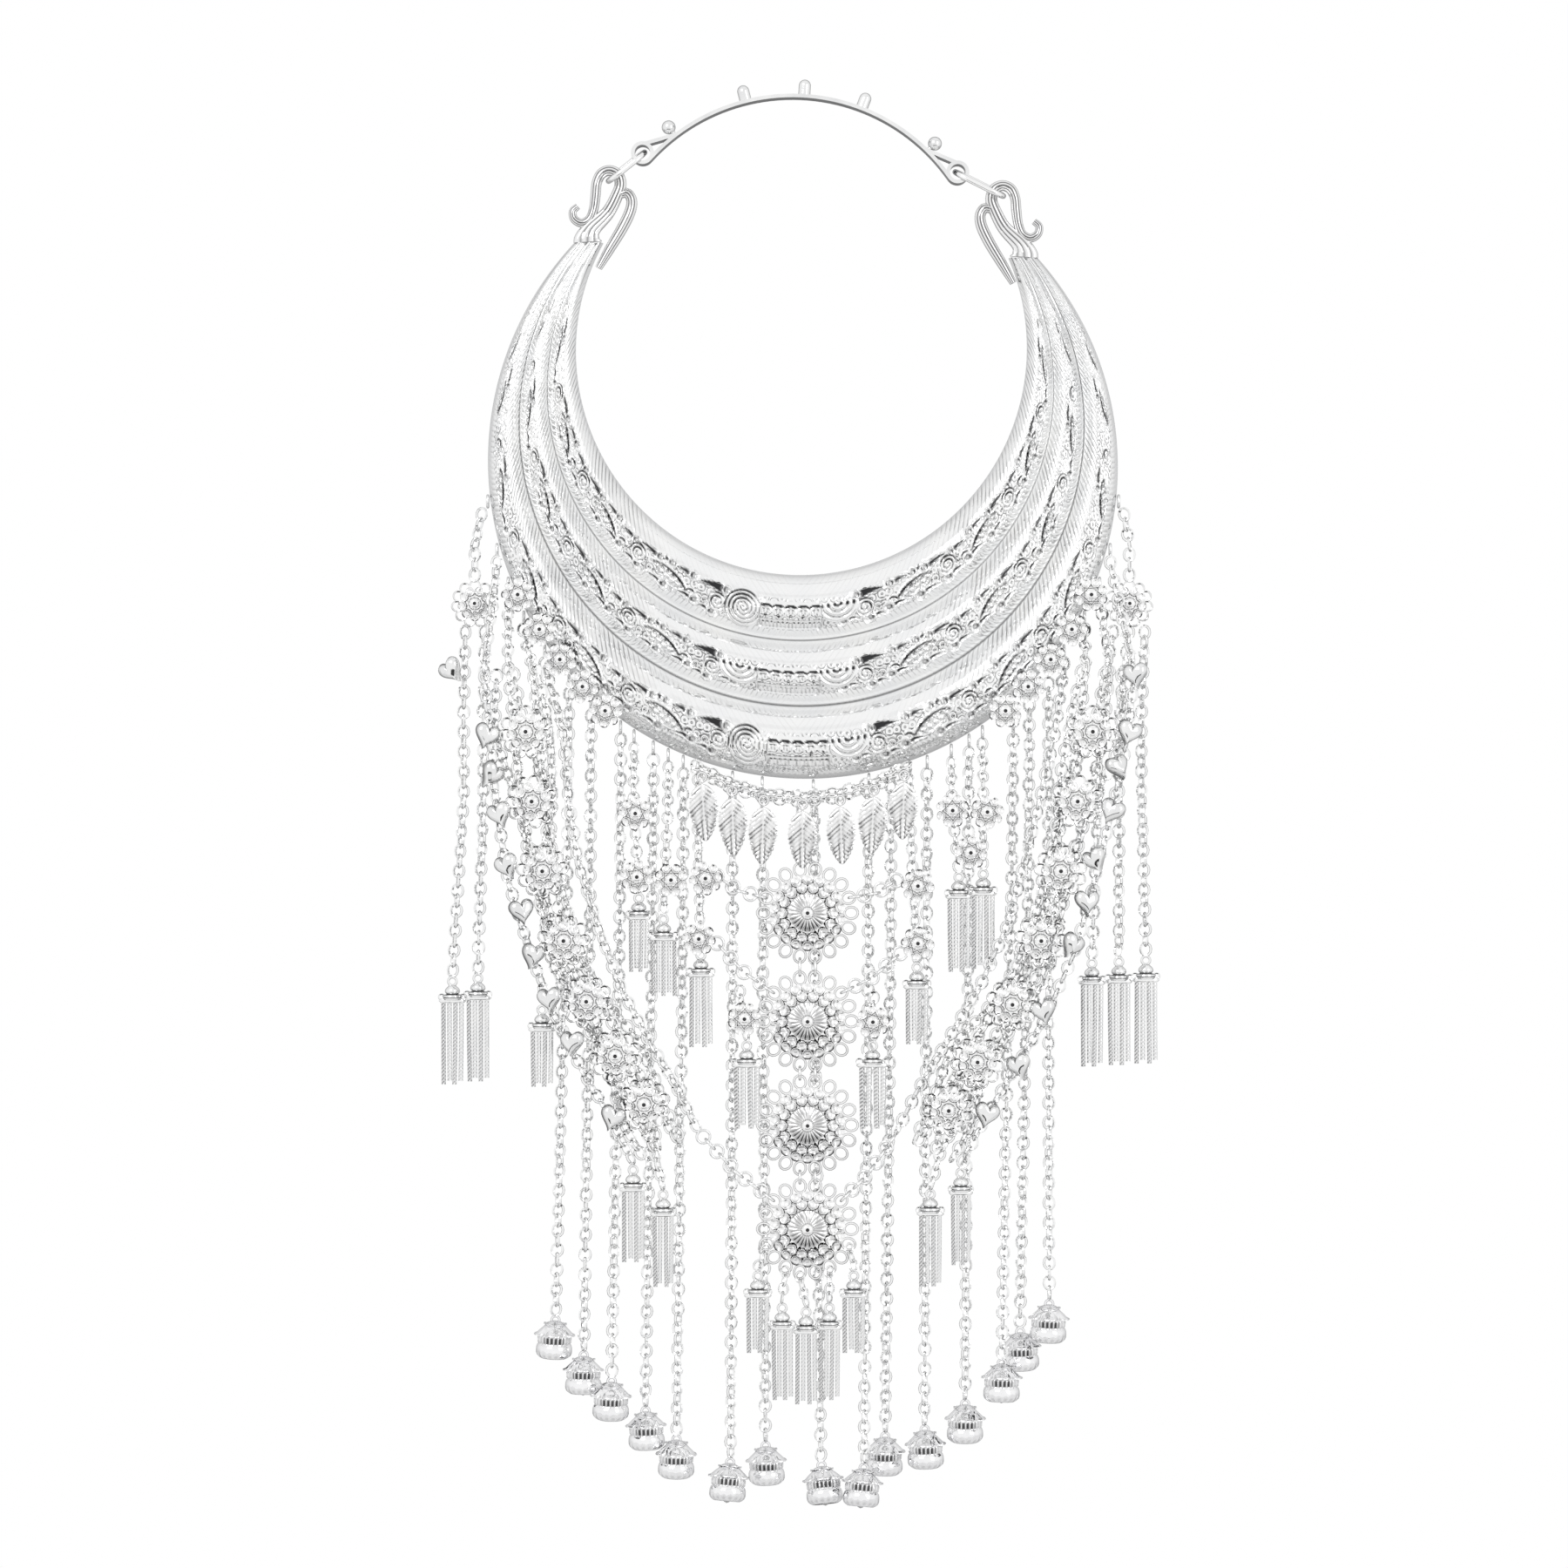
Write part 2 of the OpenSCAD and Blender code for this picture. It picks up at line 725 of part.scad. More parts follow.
module leaf_row() {
    ring_reach = chain_radius + leaf_ring + leaf_wire + seat;
    lift = sqrt(pow(ring_reach, 2) - pow(leaf_plane, 2));
    for (x = LEAF_X) {
        ring = [x, leaf_chain_y - leaf_plane, leaf_chain_z(x) - lift];
        eye = ring - [0, 0, leaf_ring];
        color(pale) link_ring(ring, [0, 0, 1], [0, 1, 0], leaf_ring, leaf_wire);
        color(bright) {
            link_ring(eye, [0, 0, 1], [1, 0, 0], leaf_eye, 0.35);
            translate(eye - [0, 0, leaf_eye + leaf_length / 2 - 0.3]) leaf_blade();
        }
    }
}

// Drop chains. Columns: x at the rim, x of the foot, z of the foot
DROP_CHAINS = [
    [-54.6, -54, -264],
    [-43.4, -45.8, -271],
    [-33.7, -33.4, -283],
    [35.4, 38.3, -287],
    [48.9, 52.2, -257],
    [59.1, 60.3, -256]
];
drop_y = -5.8;
TIER_FLOWERS = [
    [-55, -238], [-54.5, -259], [-43.2, -260], [-31.8, -259.5], [-34, -279.5], [-18.9, -306],
    [50, -237], [61.5, -237.5], [56, -251], [38.5, -262], [38.5, -281], [23.6, -307]
];
tier_flower_radius = 5.5;
tier_flower_y = drop_y - chain_radius - seat;
hanger_radius = 2.35;
short_radius = 1.5;
hook_side = 10;

// Two more short chains start under the second swags. Columns: x at the top, z at the top, x of
// the foot, z of the foot
SWAG_DROPS = [
    [-20.6, -295.5, -18.2, -313],
    [24, -297.5, 23.6, -313]
];

module drop_chains() {
    color(silver) {
        for (row = DROP_CHAINS) {
            top = under_ring(on_rim(row[0]), chain_y - 2);
            tube([
                top,
                top - [0, 0, top_stub],
                [top[0], drop_y, top[2] - 16],
                [row[1], drop_y, row[2]]
            ]);
        }
        for (row = SWAG_DROPS) tube([[row[0], drop_y, row[1]], [row[2], drop_y, row[3]]], hanger_radius);
        for (side = [LEFT, RIGHT]) {
            foot = rosette_loop(0, side * hook_side) + [0, 0, loop_outside + seat];
            top = [foot[0], leaf_chain_y, leaf_chain_z(foot[0]) - chain_radius - seat];
            tube([foot, top], hanger_radius);
        }
        for (row = TASSELS_BOTTOM) {
            loop = rosette_loop(rosette_count - 1, row[6]);
            top = [loop[0], rosette_y - 1 - seat - short_radius, loop[2]];
            foot = [row[0], row[1], row[2]];
            tube([top, top - [0, 0, 1], foot + [0, 0, 1], foot], short_radius);
        }
    }
}

// Rosette: a pierced plate of loops, a smaller scalloped layer pierced too, a third and a dome
ROSETTE_Z = [-271, -307, -341.5, -376];
rosette_x = 2;
rosette_y = -3.6;
loop_outside = 2.4;
loop_hole = 1.5;

module loop_layer(ring, count, outside, hole) {
    difference() {
        union() {
            circle(r = ring - outside / 2, $fn = 64);
            for (k = [0:count - 1])
                rotate(360 * (k + 0.5) / count) translate([0, ring]) circle(r = outside, $fn = 24);
        }
        for (k = [0:count - 1])
            rotate(360 * (k + 0.5) / count) translate([0, ring]) circle(r = hole, $fn = 24);
    }
}

module rosette(i) {
    color(bright)
    translate([rosette_x, rosette_y, ROSETTE_Z[i]]) rotate([90, 0, 0]) {
        linear_extrude(height = 1) loop_layer(rosette_ring, rosette_loops, loop_outside, loop_hole);
        translate([0, 0, 1]) linear_extrude(height = 1.4) {
            circle(r = 9.5, $fn = 48);
            for (k = [0:11]) rotate(30 * k) translate([0, 8.6]) circle(r = 2.4, $fn = 24);
        }
        translate([0, 0, 2.4]) linear_extrude(height = 1.2) {
            circle(r = 5.6, $fn = 48);
            for (k = [0:9]) rotate(36 * k) translate([0, 5.4]) circle(r = 1.8, $fn = 24);
        }
        translate([0, 0, 3.2]) sphere(r = 2.7, $fn = 40);
    }
}

// Rings between rosettes, and swags of links to both sides
function rosette_loop(i, angle) =
    [rosette_x + rosette_ring * sin(angle), rosette_y - 0.5, ROSETTE_Z[i] + rosette_ring * cos(angle)];
// Swags. Columns: rosette, loop angle, then x, y and z of the far end
SWAGS = [
    [0, -70, [-29.9, -5.6, -257.5]],
    [0, 70, [33.3, -5.6, -259]],
    [1, -50, [-29.5, -5.6, -279.5]],
    [1, 50, [34.4, -5.6, -283]],
    [3, -50, strand_tip(GARLAND_LEFT, LEFT, 3)],
    [3, 50, strand_tip(GARLAND_RIGHT, RIGHT, 3)]
];
swag_dip = 2;

module centre_links() {
    color(silver) {
        for (i = [0:rosette_count - 2])
            for (side = [LEFT, RIGHT]) {
                upper = rosette_loop(i, 180 - side * hook_side);
                lower = rosette_loop(i + 1, side * hook_side);
                reach = (upper[2] - lower[2]) / 2 - (loop_hole - ring_wire - seat);
                link_ring((upper + lower) / 2, [0, 0, 1], [0, 1, 0], reach, ring_wire);
            }
        for (row = SWAGS) {
            start = rosette_loop(row[0], row[1]);
            middle = (start + row[2]) / 2 - [0, 0, swag_dip];
            link_run([start, middle, row[2]]);
        }
    }
}

// Tassels of the field. Columns: x, y, z of the ring's top, strands, width, length, and for the
// bottom ones the angle of the rosette loop that carries them
TASSELS_LEFT = [
    [-54, drop_y, -264, 4, 7, 18],
    [-45.8, drop_y, -271, 5, 9, 19],
    [-33.4, drop_y, -283, 4, 8, 24],
    [-86, -7.9, -301, 4, 8, 19],
    [-55.7, -11, -353.8, 4, 8, 24],
    [-45.8, -11, -362, 4, 7.5, 24],
    [-18.2, drop_y, -313, 4, 9, 21]
];
TASSELS_RIGHT = [
    [38.3, drop_y, -287, 4, 8, 19],
    [52.2, drop_y, -257, 4, 8, 25],
    [60.3, drop_y, -256, 4, 8, 25],
    [52.7, -11, -354.8, 4, 7, 24],
    [42.6, -11, -361.8, 4, 8, 24],
    [23.6, drop_y, -313, 4, 9.5, 21]
];
TASSELS_BOTTOM = [
    [-14.5, -9.6, -389, 4, 8, 19, -110],
    [-6.4, -9.6, -399.6, 4, 7.5, 24, -150],
    [1.5, -9.6, -401, 4, 7.5, 24, -170],
    [9.2, -9.6, -399.6, 4, 7.5, 24, 150],
    [17.3, -9.6, -389, 4, 8, 19, 110]
];
module tassels(table) {
    color(pale)
    for (row = table)
        translate([row[0], row[1], row[2] - seat + tassel_ring_top]) tassel(row[3], row[4], row[5]);
}

// Every small ring under the rim
module edge_rings() {
    places = concat(
        [for (row = BELL_DROPS) on_rim(row[0])],
        [for (row = DROP_CHAINS) on_rim(row[0])],
        [for (z = GARLAND_TOPS) for (side = [LEFT, RIGHT]) on_flank(side, z)],
        [for (side = [LEFT, RIGHT]) on_flank(side, side_rim_z)]
    );
    color(pale)
    for (place = places) {
        centre = ring_centre(place);
        link_ring([centre[0], 0, centre[1]], [0, 0, 1], [0, 1, 0], ring_radius, ring_wire);
    }
}

crescent(0);  // crescent_inner
crescent(1);  // crescent_middle
crescent(2);  // crescent_outer
end_hook(LEFT);  // end_hook_left
end_hook(RIGHT);  // end_hook_right
nape_arc();
nape_link(LEFT);  // nape_link_left
nape_link(RIGHT);  // nape_link_right
edge_rings();
for (i = [0:bell_count - 1]) {
    bell_chain(i);
    bell(i);
}
side_chains(SIDE_CHAINS_LEFT, LEFT);  // side_chains_left
side_chains(SIDE_CHAINS_RIGHT, RIGHT);  // side_chains_right
side_tassels(SIDE_CHAINS_LEFT);  // side_tassels_left
side_tassels(SIDE_CHAINS_RIGHT);  // side_tassels_right
garland(GARLAND_LEFT, LEFT);  // garland_left
garland(GARLAND_RIGHT, RIGHT);  // garland_right
flowers(GARLAND_LEFT, RIM_FLOWERS_LEFT, LEFT);  // flowers_left
flowers(GARLAND_RIGHT, RIM_FLOWERS_RIGHT, RIGHT);  // flowers_right
hearts(HEARTS_LEFT);  // hearts_left
hearts(HEARTS_RIGHT);  // hearts_right
leaf_chain();
leaf_row();
drop_chains();
for (i = [0:rosette_count - 1]) {
    rosette(i);
}
centre_links();
tassels(TASSELS_LEFT);  // tassels_left
tassels(TASSELS_RIGHT);  // tassels_right
tassels(TASSELS_BOTTOM);  // tassels_bottom
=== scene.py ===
import bpy
import numpy as np
from math import pi, sin, cos, radians, sqrt
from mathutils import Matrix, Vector


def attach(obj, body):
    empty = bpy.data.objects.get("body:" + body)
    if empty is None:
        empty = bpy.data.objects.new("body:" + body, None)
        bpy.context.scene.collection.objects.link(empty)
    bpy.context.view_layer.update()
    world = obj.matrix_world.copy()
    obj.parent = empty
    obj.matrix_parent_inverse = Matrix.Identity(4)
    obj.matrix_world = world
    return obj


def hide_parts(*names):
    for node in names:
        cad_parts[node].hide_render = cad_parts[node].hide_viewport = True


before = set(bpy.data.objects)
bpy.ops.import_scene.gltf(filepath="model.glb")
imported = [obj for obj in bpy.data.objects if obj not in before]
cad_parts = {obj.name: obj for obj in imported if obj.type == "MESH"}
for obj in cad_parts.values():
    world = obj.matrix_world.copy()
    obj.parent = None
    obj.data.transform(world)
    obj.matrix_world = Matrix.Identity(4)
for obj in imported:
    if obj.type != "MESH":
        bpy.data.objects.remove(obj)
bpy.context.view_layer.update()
mm = 0.001
scene = bpy.context.scene
print("frame loaded")


# 0 below 0, 1 above the width, a cubic between
def ramp(value, width):
    t = np.clip(value / width, 0, 1)
    return t * t * (3 - 2 * t)


# 1 on a line, fading over its width as e to the minus square
def line(distance, width):
    return np.exp(-(distance / width) ** 2)


# Half of 1 + cos(angle), between 0 and 1
def ripple(angle):
    return 0.5 + 0.5 * np.cos(angle)


# Angles of a full turn in equal steps, as one row
def fullTurn(count):
    return (np.arange(count) * 2 * pi / count)[None, :]


# Shares from 0 to 1 in equal steps, as one column
def shares(count):
    return np.linspace(0, 1, count)[:, None]


# Quads between the points of a grid; a closed way wraps round to its first line
def gridFaces(rows, cols, closeRows=False, closeCols=False):
    r = np.arange(rows if closeRows else rows - 1)[:, None]
    c = np.arange(cols if closeCols else cols - 1)[None, :]
    down = (r + 1) % rows
    across = (c + 1) % cols
    quads = [r * cols + c, r * cols + across, down * cols + across, down * cols + c]
    return np.stack(quads, axis=-1).reshape(-1, 4)


# A shape is points in mm, faces of four corners (the last is -1 in a triangle) and a tone at each
# point: painted shade from 0 to 1, less polish below 0. Its faces are turned over if the volume, the
# sum of a . (b x c) over them, is negative
def outward(shape):
    points, faces, tone = shape
    a, b, c = (points[faces[:, k]] for k in range(3))
    volume = (a * np.cross(b, c)).sum()
    quad = faces[:, 3] >= 0
    volume += (a[quad] * np.cross(c[quad], points[faces[quad, 3]])).sum()
    if volume < 0:
        turned = np.where(quad[:, None], faces[:, ::-1], np.roll(faces[:, ::-1], -1, axis=1))
        return points, turned, tone
    return shape


# A grid whose columns wrap round becomes a shape: points within the same 1/500 mm are one, and a
# quad that loses a corner is a triangle
def closedSurface(grid, tone=None):
    points = grid.reshape(-1, 3)
    tone = np.zeros(len(points)) if tone is None else tone.reshape(len(points), *tone.shape[2:])
    keys = np.round(points * 500).astype(np.int64)
    _, first, back = np.unique(keys, axis=0, return_index=True, return_inverse=True)
    quads = back.reshape(-1)[gridFaces(*grid.shape[:2], closeCols=True)]
    same = quads == np.roll(quads, -1, axis=1)
    single = same.sum(axis=1) == 1
    order = (same[single].argmax(axis=1)[:, None] + 1 + np.arange(3)) % 4
    triangles = np.take_along_axis(quads[single], order, axis=1)
    triangles = np.hstack([triangles, np.full((len(triangles), 1), -1)])
    return outward((points[first], np.vstack([quads[~same.any(axis=1)], triangles]), tone[first]))


# The same, with both ends closed by the mean point of their row
def cappedSurface(grid, tone):
    ends = [np.repeat(grid[k].mean(axis=0)[None, None], grid.shape[1], axis=1) for k in (0, -1)]
    tone = np.concatenate([tone[:1], tone, tone[-1:]])
    return closedSurface(np.concatenate([ends[0], grid, ends[1]]), tone)


# Each copy's point = origin + x * first axis + y * second axis + z * third axis
def copies(shape, origins, axes):
    points, faces, tone = shape
    placed = np.einsum("vk,nkj->nvj", points, axes) + np.asarray(origins, float)[:, None, :]
    shift = np.arange(len(origins))[:, None, None] * len(points)
    allFaces = np.where(faces[None] < 0, -1, faces[None] + shift)
    return placed.reshape(-1, 3), allFaces.reshape(-1, 4), np.tile(tone, len(origins))


# Shapes as one: each one's faces count on from the points before it
def joined(shapes):
    sizes = np.cumsum([0] + [len(s[0]) for s in shapes])
    faces = [np.where(s[1] < 0, -1, s[1] + k) for s, k in zip(shapes, sizes)]
    return np.vstack([s[0] for s in shapes]), np.vstack(faces), np.concatenate([s[2] for s in shapes])


# Turned about y, then tilted about x, both in degrees, then shifted
def moved(shape, place, turn=0, tilt=0):
    c, s = cos(radians(turn)), sin(radians(turn))
    d, e = cos(radians(tilt)), sin(radians(tilt))
    about = np.array([[c, 0, -s], [0, 1, 0], [s, 0, c]]) @ np.array([[1, 0, 0], [0, d, e], [0, -e, d]])
    return shape[0] @ about + np.asarray(place, float), shape[1], shape[2]


# Turned about its upright axis, in degrees
def twisted(shape, angle):
    c, s = cos(radians(angle)), sin(radians(angle))
    return shape[0] @ np.array([[c, s, 0], [-s, c, 0], [0, 0, 1]]), shape[1], shape[2]


# Every measure times a size
def sized(shape, size):
    return shape[0] * size, shape[1], shape[2]


# A shape in mm becomes an object in metres that replaces a CAD node. Edges sharper than the angle stay
# sharp, and the marks are further values at each point for the material
def makePiece(node, ending, shape, metal, sharp=48, marks=None):
    name, nodes = f"{node}_{ending}", [node]
    points, faces, tone = shape
    slotName, material = metal
    mesh = bpy.data.meshes.new(name)
    corners = faces[faces >= 0].astype(np.int32)
    totals = (faces >= 0).sum(axis=1)
    starts = (np.cumsum(totals) - totals).astype(np.int32)
    for rows, key, values in ((mesh.vertices, "co", (points * mm).astype(np.float32)),
                              (mesh.loops, "vertex_index", corners), (mesh.polygons, "loop_start", starts)):
        rows.add(len(values))
        rows.foreach_set(key, values.ravel())
    mesh.polygons.foreach_set("use_smooth", np.ones(len(faces), bool))
    mesh.update(calc_edges=True)
    mesh.validate()
    mesh.attributes.new("tone", "FLOAT", "POINT").data.foreach_set("value", tone.astype(np.float32))
    for key, values in (marks or {}).items():
        attribute = mesh.attributes.new(key, "FLOAT_VECTOR", "POINT")
        attribute.data.foreach_set("vector", values.astype(np.float32).ravel())
    mesh.set_sharp_from_angle(angle=radians(sharp))
    mesh.materials.append(material)
    piece = bpy.data.objects.new(name, mesh)
    scene.collection.objects.link(piece)
    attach(piece, "root")
    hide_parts(*nodes)


# Distance along the path shared out evenly
def evenly(path, count):
    reach = np.concatenate([[0], np.cumsum(np.linalg.norm(np.diff(path, axis=0), axis=1))])
    want = np.linspace(0, reach[-1], count)
    return np.stack([np.interp(want, reach, path[:, k]) for k in range(path.shape[1])], axis=1)


# Catmull-Rom: a cubic through each pair, with slopes from the points on both sides
def smoothPath(points, count):
    p = np.asarray(points, float)
    full = np.vstack([2 * p[0] - p[1], p, 2 * p[-1] - p[-2]])
    u = np.linspace(0, len(p) - 1, (len(p) - 1) * 12 + 1)
    k = np.minimum(u.astype(int), len(p) - 2)
    f = (u - k)[:, None]
    a, b, c, d = full[k], full[k + 1], full[k + 2], full[k + 3]
    fine = b + 0.5 * (c - a) * f + (a - 2.5 * b + 2 * c - 0.5 * d) * f ** 2
    fine = fine + (1.5 * (b - c) + 0.5 * (d - a)) * f ** 3
    return evenly(fine, count)


# Each row over its length
def unitRows(rows):
    return rows / np.maximum(np.linalg.norm(rows, axis=-1, keepdims=True), 1e-9)


# Along a path: the tangent, the front less its share of the tangent, and the side square to both
def pathFrames(path):
    tangent = unitRows(np.gradient(path, axis=0))
    front = np.array([0.0, -1, 0])
    front = unitRows(front - (tangent @ front)[:, None] * tangent)
    return tangent, front, np.cross(front, tangent)


# point = path + across * width * side + forward * depth * front, closed at both ends by its middle
def swept(path, section, widths, depths, tone):
    _, ahead, side = pathFrames(path)
    rows = path[:, None] + section[None, :, :1] * widths[:, None, None] * side[:, None]
    rows = rows + section[None, :, 1:] * depths[:, None, None] * ahead[:, None]
    return cappedSurface(rows, np.broadcast_to(tone, (len(path), len(section))))


# A circle of wire in the x-z plane: x and z = (radius + wire cos v) (cos u, sin u), y = wire sin v
def wireRing(radius, wire, around=14, sides=6, tall=1.0):
    u, v = fullTurn(around).T, fullTurn(sides)
    reach = radius + wire * np.cos(v)
    z = reach * np.sin(u) + (tall - 1) * radius * np.sin(u)
    points = np.stack([reach * np.cos(u), wire * np.sin(v) + 0 * u, z], axis=-1).reshape(-1, 3)
    return outward((points, gridFaces(around, sides, True, True), np.zeros(len(points))))


# A profile of radius and height turned round z: x, y = radius (1 + wave) (cos, sin)
def turnedShape(profile, sides, tone=None, wave=None):
    profile = np.asarray(profile, float)
    angle = fullTurn(sides)
    height = profile[:, 1:]
    radius = profile[:, :1] * (1 + (0 if wave is None else wave(height, angle))) + 0 * angle
    grid = np.stack([radius * np.cos(angle), radius * np.sin(angle), height + 0 * radius], axis=-1)
    return closedSurface(grid, None if tone is None else tone(height, angle) + 0 * radius)


# Links and the step between them: for the long chains, for short rows and under the rosettes
longLinks = (wireRing(1.82, 0.46, 12, 5, 1.18), 3.3)
rowLinks = (wireRing(1.66, 0.42, 12, 5, 1.15), 2.95)
smallLinks = (wireRing(1.5, 0.38, 12, 5, 1.25), 2.7)
linkLook = {"twist": (0.132, 0.096), "waves": (0.31, 0.83), "slant": 0.36, "loose": 0.1, "steps": 400}


# A link at each step of a path, each turned a quarter from the last; the chain's twist is the sum
# of two slow sines of the step, and every link is a little loose
def chainRun(path, seed, links=longLinks):
    link, pitch = links
    last = linkLook["steps"] - 1
    fine = evenly(np.asarray(path, float), linkLook["steps"])
    length = np.linalg.norm(np.diff(fine, axis=0), axis=1).sum()
    count = max(2, int(round(length / pitch)))
    reach = (np.arange(count) + 0.5) / count * last
    k = np.minimum(reach.astype(int), last - 1)
    centre = fine[k] + (fine[k + 1] - fine[k]) * (reach - k)[:, None]
    tangent, front, side = (rows[k] for rows in pathFrames(fine))
    random = np.random.default_rng(seed)
    phases = random.uniform(0, 2 * pi, 3)
    step = np.arange(count)
    twist = sum(size * np.sin(step * wave + phase)
                for size, wave, phase in zip(linkLook["twist"], linkLook["waves"], phases))
    slant = linkLook["slant"] * random.choice((-1, 1))
    angle = step * pi / 2 + slant + twist + random.uniform(-1, 1, count) * linkLook["loose"]
    axisY = np.cos(angle)[:, None] * front + np.sin(angle)[:, None] * side
    return copies(link, centre, np.stack([np.cross(axisY, tangent), axisY, tangent], axis=1))


# A shader node; each socket takes a number, a colour or another node's output
def addNode(tree, kind, sockets, **settings):
    node = tree.nodes.new("ShaderNode" + kind)
    for key, value in settings.items():
        setattr(node, key, value)
    for key, value in sockets.items():
        if isinstance(value, bpy.types.NodeSocket):
            tree.links.new(value, node.inputs[key])
        else:
            node.inputs[key].default_value = value
    return node


# One step of arithmetic on sockets and numbers
def maths(tree, operation, *values):
    return addNode(tree, "Math", dict(enumerate(values)), operation=operation).outputs[0]


# A value's range from low to high carried over to another range
def mapRange(tree, source, ranges, kind="LINEAR"):
    sockets = dict(zip(("From Min", "From Max", "To Min", "To Max"), ranges), Value=source)
    return addNode(tree, "MapRange", sockets, interpolation_type=kind).outputs["Result"]


# Metal: a mirror-like silver whose colour drifts from light to grey with slow noise. A tone of 0 to
# 1 blackens it with painted shade, one below 0 takes its polish off. It comes back with its slot
def makeSilver(name, look):
    material = bpy.data.materials.new(name)
    material.use_nodes = True
    tree = material.node_tree
    shader = tree.nodes["Principled BSDF"]
    shader.inputs["Metallic"].default_value = 1.0
    shader.inputs["Specular Tint"].default_value = (look["edge"], look["edge"], look["edge"] * 1.01, 1)
    place = tree.nodes.new("ShaderNodeTexCoord").outputs["Object"]

    # Noise of a scale, an attribute's output, and first + share * (second - first)
    def noise(scale, detail):
        return addNode(tree, "TexNoise", {"Vector": place, "Scale": scale, "Detail": detail}).outputs["Fac"]

    def attribute(key, output):
        return addNode(tree, "Attribute", {}, attribute_name=key).outputs[output]

    def mixed(share, first, second):
        return addNode(tree, "Mix", {0: share, 6: first, 7: second}, data_type="RGBA").outputs[2]

    tone = attribute("tone", "Fac")
    paintedShade, height = tone, noise(look["dent"], 2)
    # Engraving: thin lines where a sine of the distance along plus slope times the distance down
    # is near 1, and rings round scattered centres; the marks say where each lies. Each line is a groove
    # in the bump, blackened in the colour by painted shade
    if "engraving" in look:
        cut = look["engraving"]
        height = maths(tree, "MULTIPLY", height, cut["dents"])
        flat = attribute("band", "Vector")
        along, down, _ = addNode(tree, "SeparateXYZ", {0: flat}).outputs
        zones = addNode(tree, "SeparateXYZ", {0: attribute("engraving", "Vector")}).outputs
        scatter = {"Vector": flat, "Scale": 1 / cut["curl"], "Randomness": cut["stray"]}
        cells = addNode(tree, "TexVoronoi", scatter, voronoi_dimensions="2D").outputs["Distance"]
        sources = [maths(tree, "MULTIPLY_ADD", down, slope, along) for slope in cut["slopes"]]
        sources.append(maths(tree, "MULTIPLY", cells, cut["curl"]))
        patchy = mapRange(tree, noise(cut["patch"], 2), (0.35, 0.6, 0.25, 1.0))
        for zone, source, pitch, depth in zip(zones, sources, cut["pitches"], cut["depths"]):
            wave = maths(tree, "SINE", maths(tree, "MULTIPLY", source, 2 * pi / pitch))
            stroke = maths(tree, "MULTIPLY", mapRange(tree, wave, (0.35, 0.95, 0, depth)),
                           maths(tree, "MULTIPLY", zone, patchy))
            paintedShade = maths(tree, "MAXIMUM", paintedShade, stroke)
            groove = maths(tree, "MULTIPLY", maths(tree, "MULTIPLY", wave, zone), cut["relief"])
            height = maths(tree, "SUBTRACT", height, groove)
    drift = mapRange(tree, noise(look["cloud"], 4), (*look["drift"], 0, 1))
    body = mixed(drift, (*look["light"], 1), (*look["grey"], 1))
    # The base colour: the body, blackened towards dark by the painted shade
    tree.links.new(mixed(paintedShade, body, (*look["dark"], 1)), shader.inputs["Base Color"])
    polish = mapRange(tree, noise(look["smear"], 3), (*look["drift"], *look["rough"]))
    polish = maths(tree, "ADD", polish, mapRange(tree, tone, (-1, 0, look["matt"], 0)))
    tree.links.new(maths(tree, "MULTIPLY_ADD", paintedShade, look["shadeMatt"], polish), shader.inputs["Roughness"])
    bump = addNode(tree, "Bump", {"Height": height, "Strength": look["bump"], "Distance": 0.3 * mm})
    tree.links.new(bump.outputs["Normal"], shader.inputs["Normal"])
    return look["slot"], material


# Metals: colours, with dark the black of the painted shade, noise scales per metre, roughness from
# to, depth of the dents, how much rougher the painted shade is, and how much of the light stays on
# edges seen side on
everyMetal = {"slot": "polished_silver", "drift": (0.3, 0.7), "matt": 0.4, "shadeMatt": 0.18,
              "dark": (0.012, 0.012, 0.014)}
metalLooks = {
    "polished silver": {
        "light": (0.96, 0.96, 0.955), "grey": (0.9, 0.905, 0.91), "cloud": 70, "smear": 240, "dent": 420,
        "rough": (0.05, 0.12), "bump": 0.12, "edge": 0.12},
    "bright silver": {
        "slot": "bright_silver", "light": (0.97, 0.97, 0.965), "grey": (0.92, 0.92, 0.925),
        "cloud": 110, "smear": 300, "dent": 520, "rough": (0.04, 0.1), "bump": 0.1, "edge": 0.5},
    "pale silver": {
        "slot": "pale_silver", "light": (0.95, 0.95, 0.945), "grey": (0.88, 0.885, 0.89),
        "dark": (0.04, 0.04, 0.045), "cloud": 150, "smear": 380, "dent": 640, "rough": (0.08, 0.16),
        "bump": 0.14, "edge": 0.35},
    "spun silver": {
        "light": (0.97, 0.97, 0.975), "grey": (0.91, 0.91, 0.92), "dark": (0.008, 0.008, 0.009),
        "cloud": 160, "smear": 260, "dent": 480, "rough": (0.05, 0.11), "bump": 0.1, "edge": 0.7},
    "beaten silver": {
        "light": (0.97, 0.97, 0.965), "grey": (0.93, 0.935, 0.94), "dark": (0.01, 0.01, 0.012),
        "cloud": 90, "smear": 200, "dent": 700, "rough": (0.06, 0.14), "bump": 0.3, "edge": 0.7,
        "engraving": {"slopes": (0.9, -0.5), "curl": 2.7, "stray": 0.55, "pitches": (2.3, 1.7, 1.15),
                      "depths": (0.6, 0.28, 0.75), "patch": 130, "dents": 0.15, "relief": 0.5}},
    # A greyer copy of bright silver in its slot: the grey is painted shade on the hearts and the nape arc
    "burnished silver": {
        "slot": "bright_silver", "light": (0.94, 0.94, 0.935), "grey": (0.8, 0.805, 0.81),
        "cloud": 120, "smear": 260, "dent": 480, "rough": (0.06, 0.14), "bump": 0.14, "edge": 0.25}
}
polished, bright, pale, spun, beaten, shaded = (
    makeSilver(name, everyMetal | look) for name, look in metalLooks.items())
print("materials made")

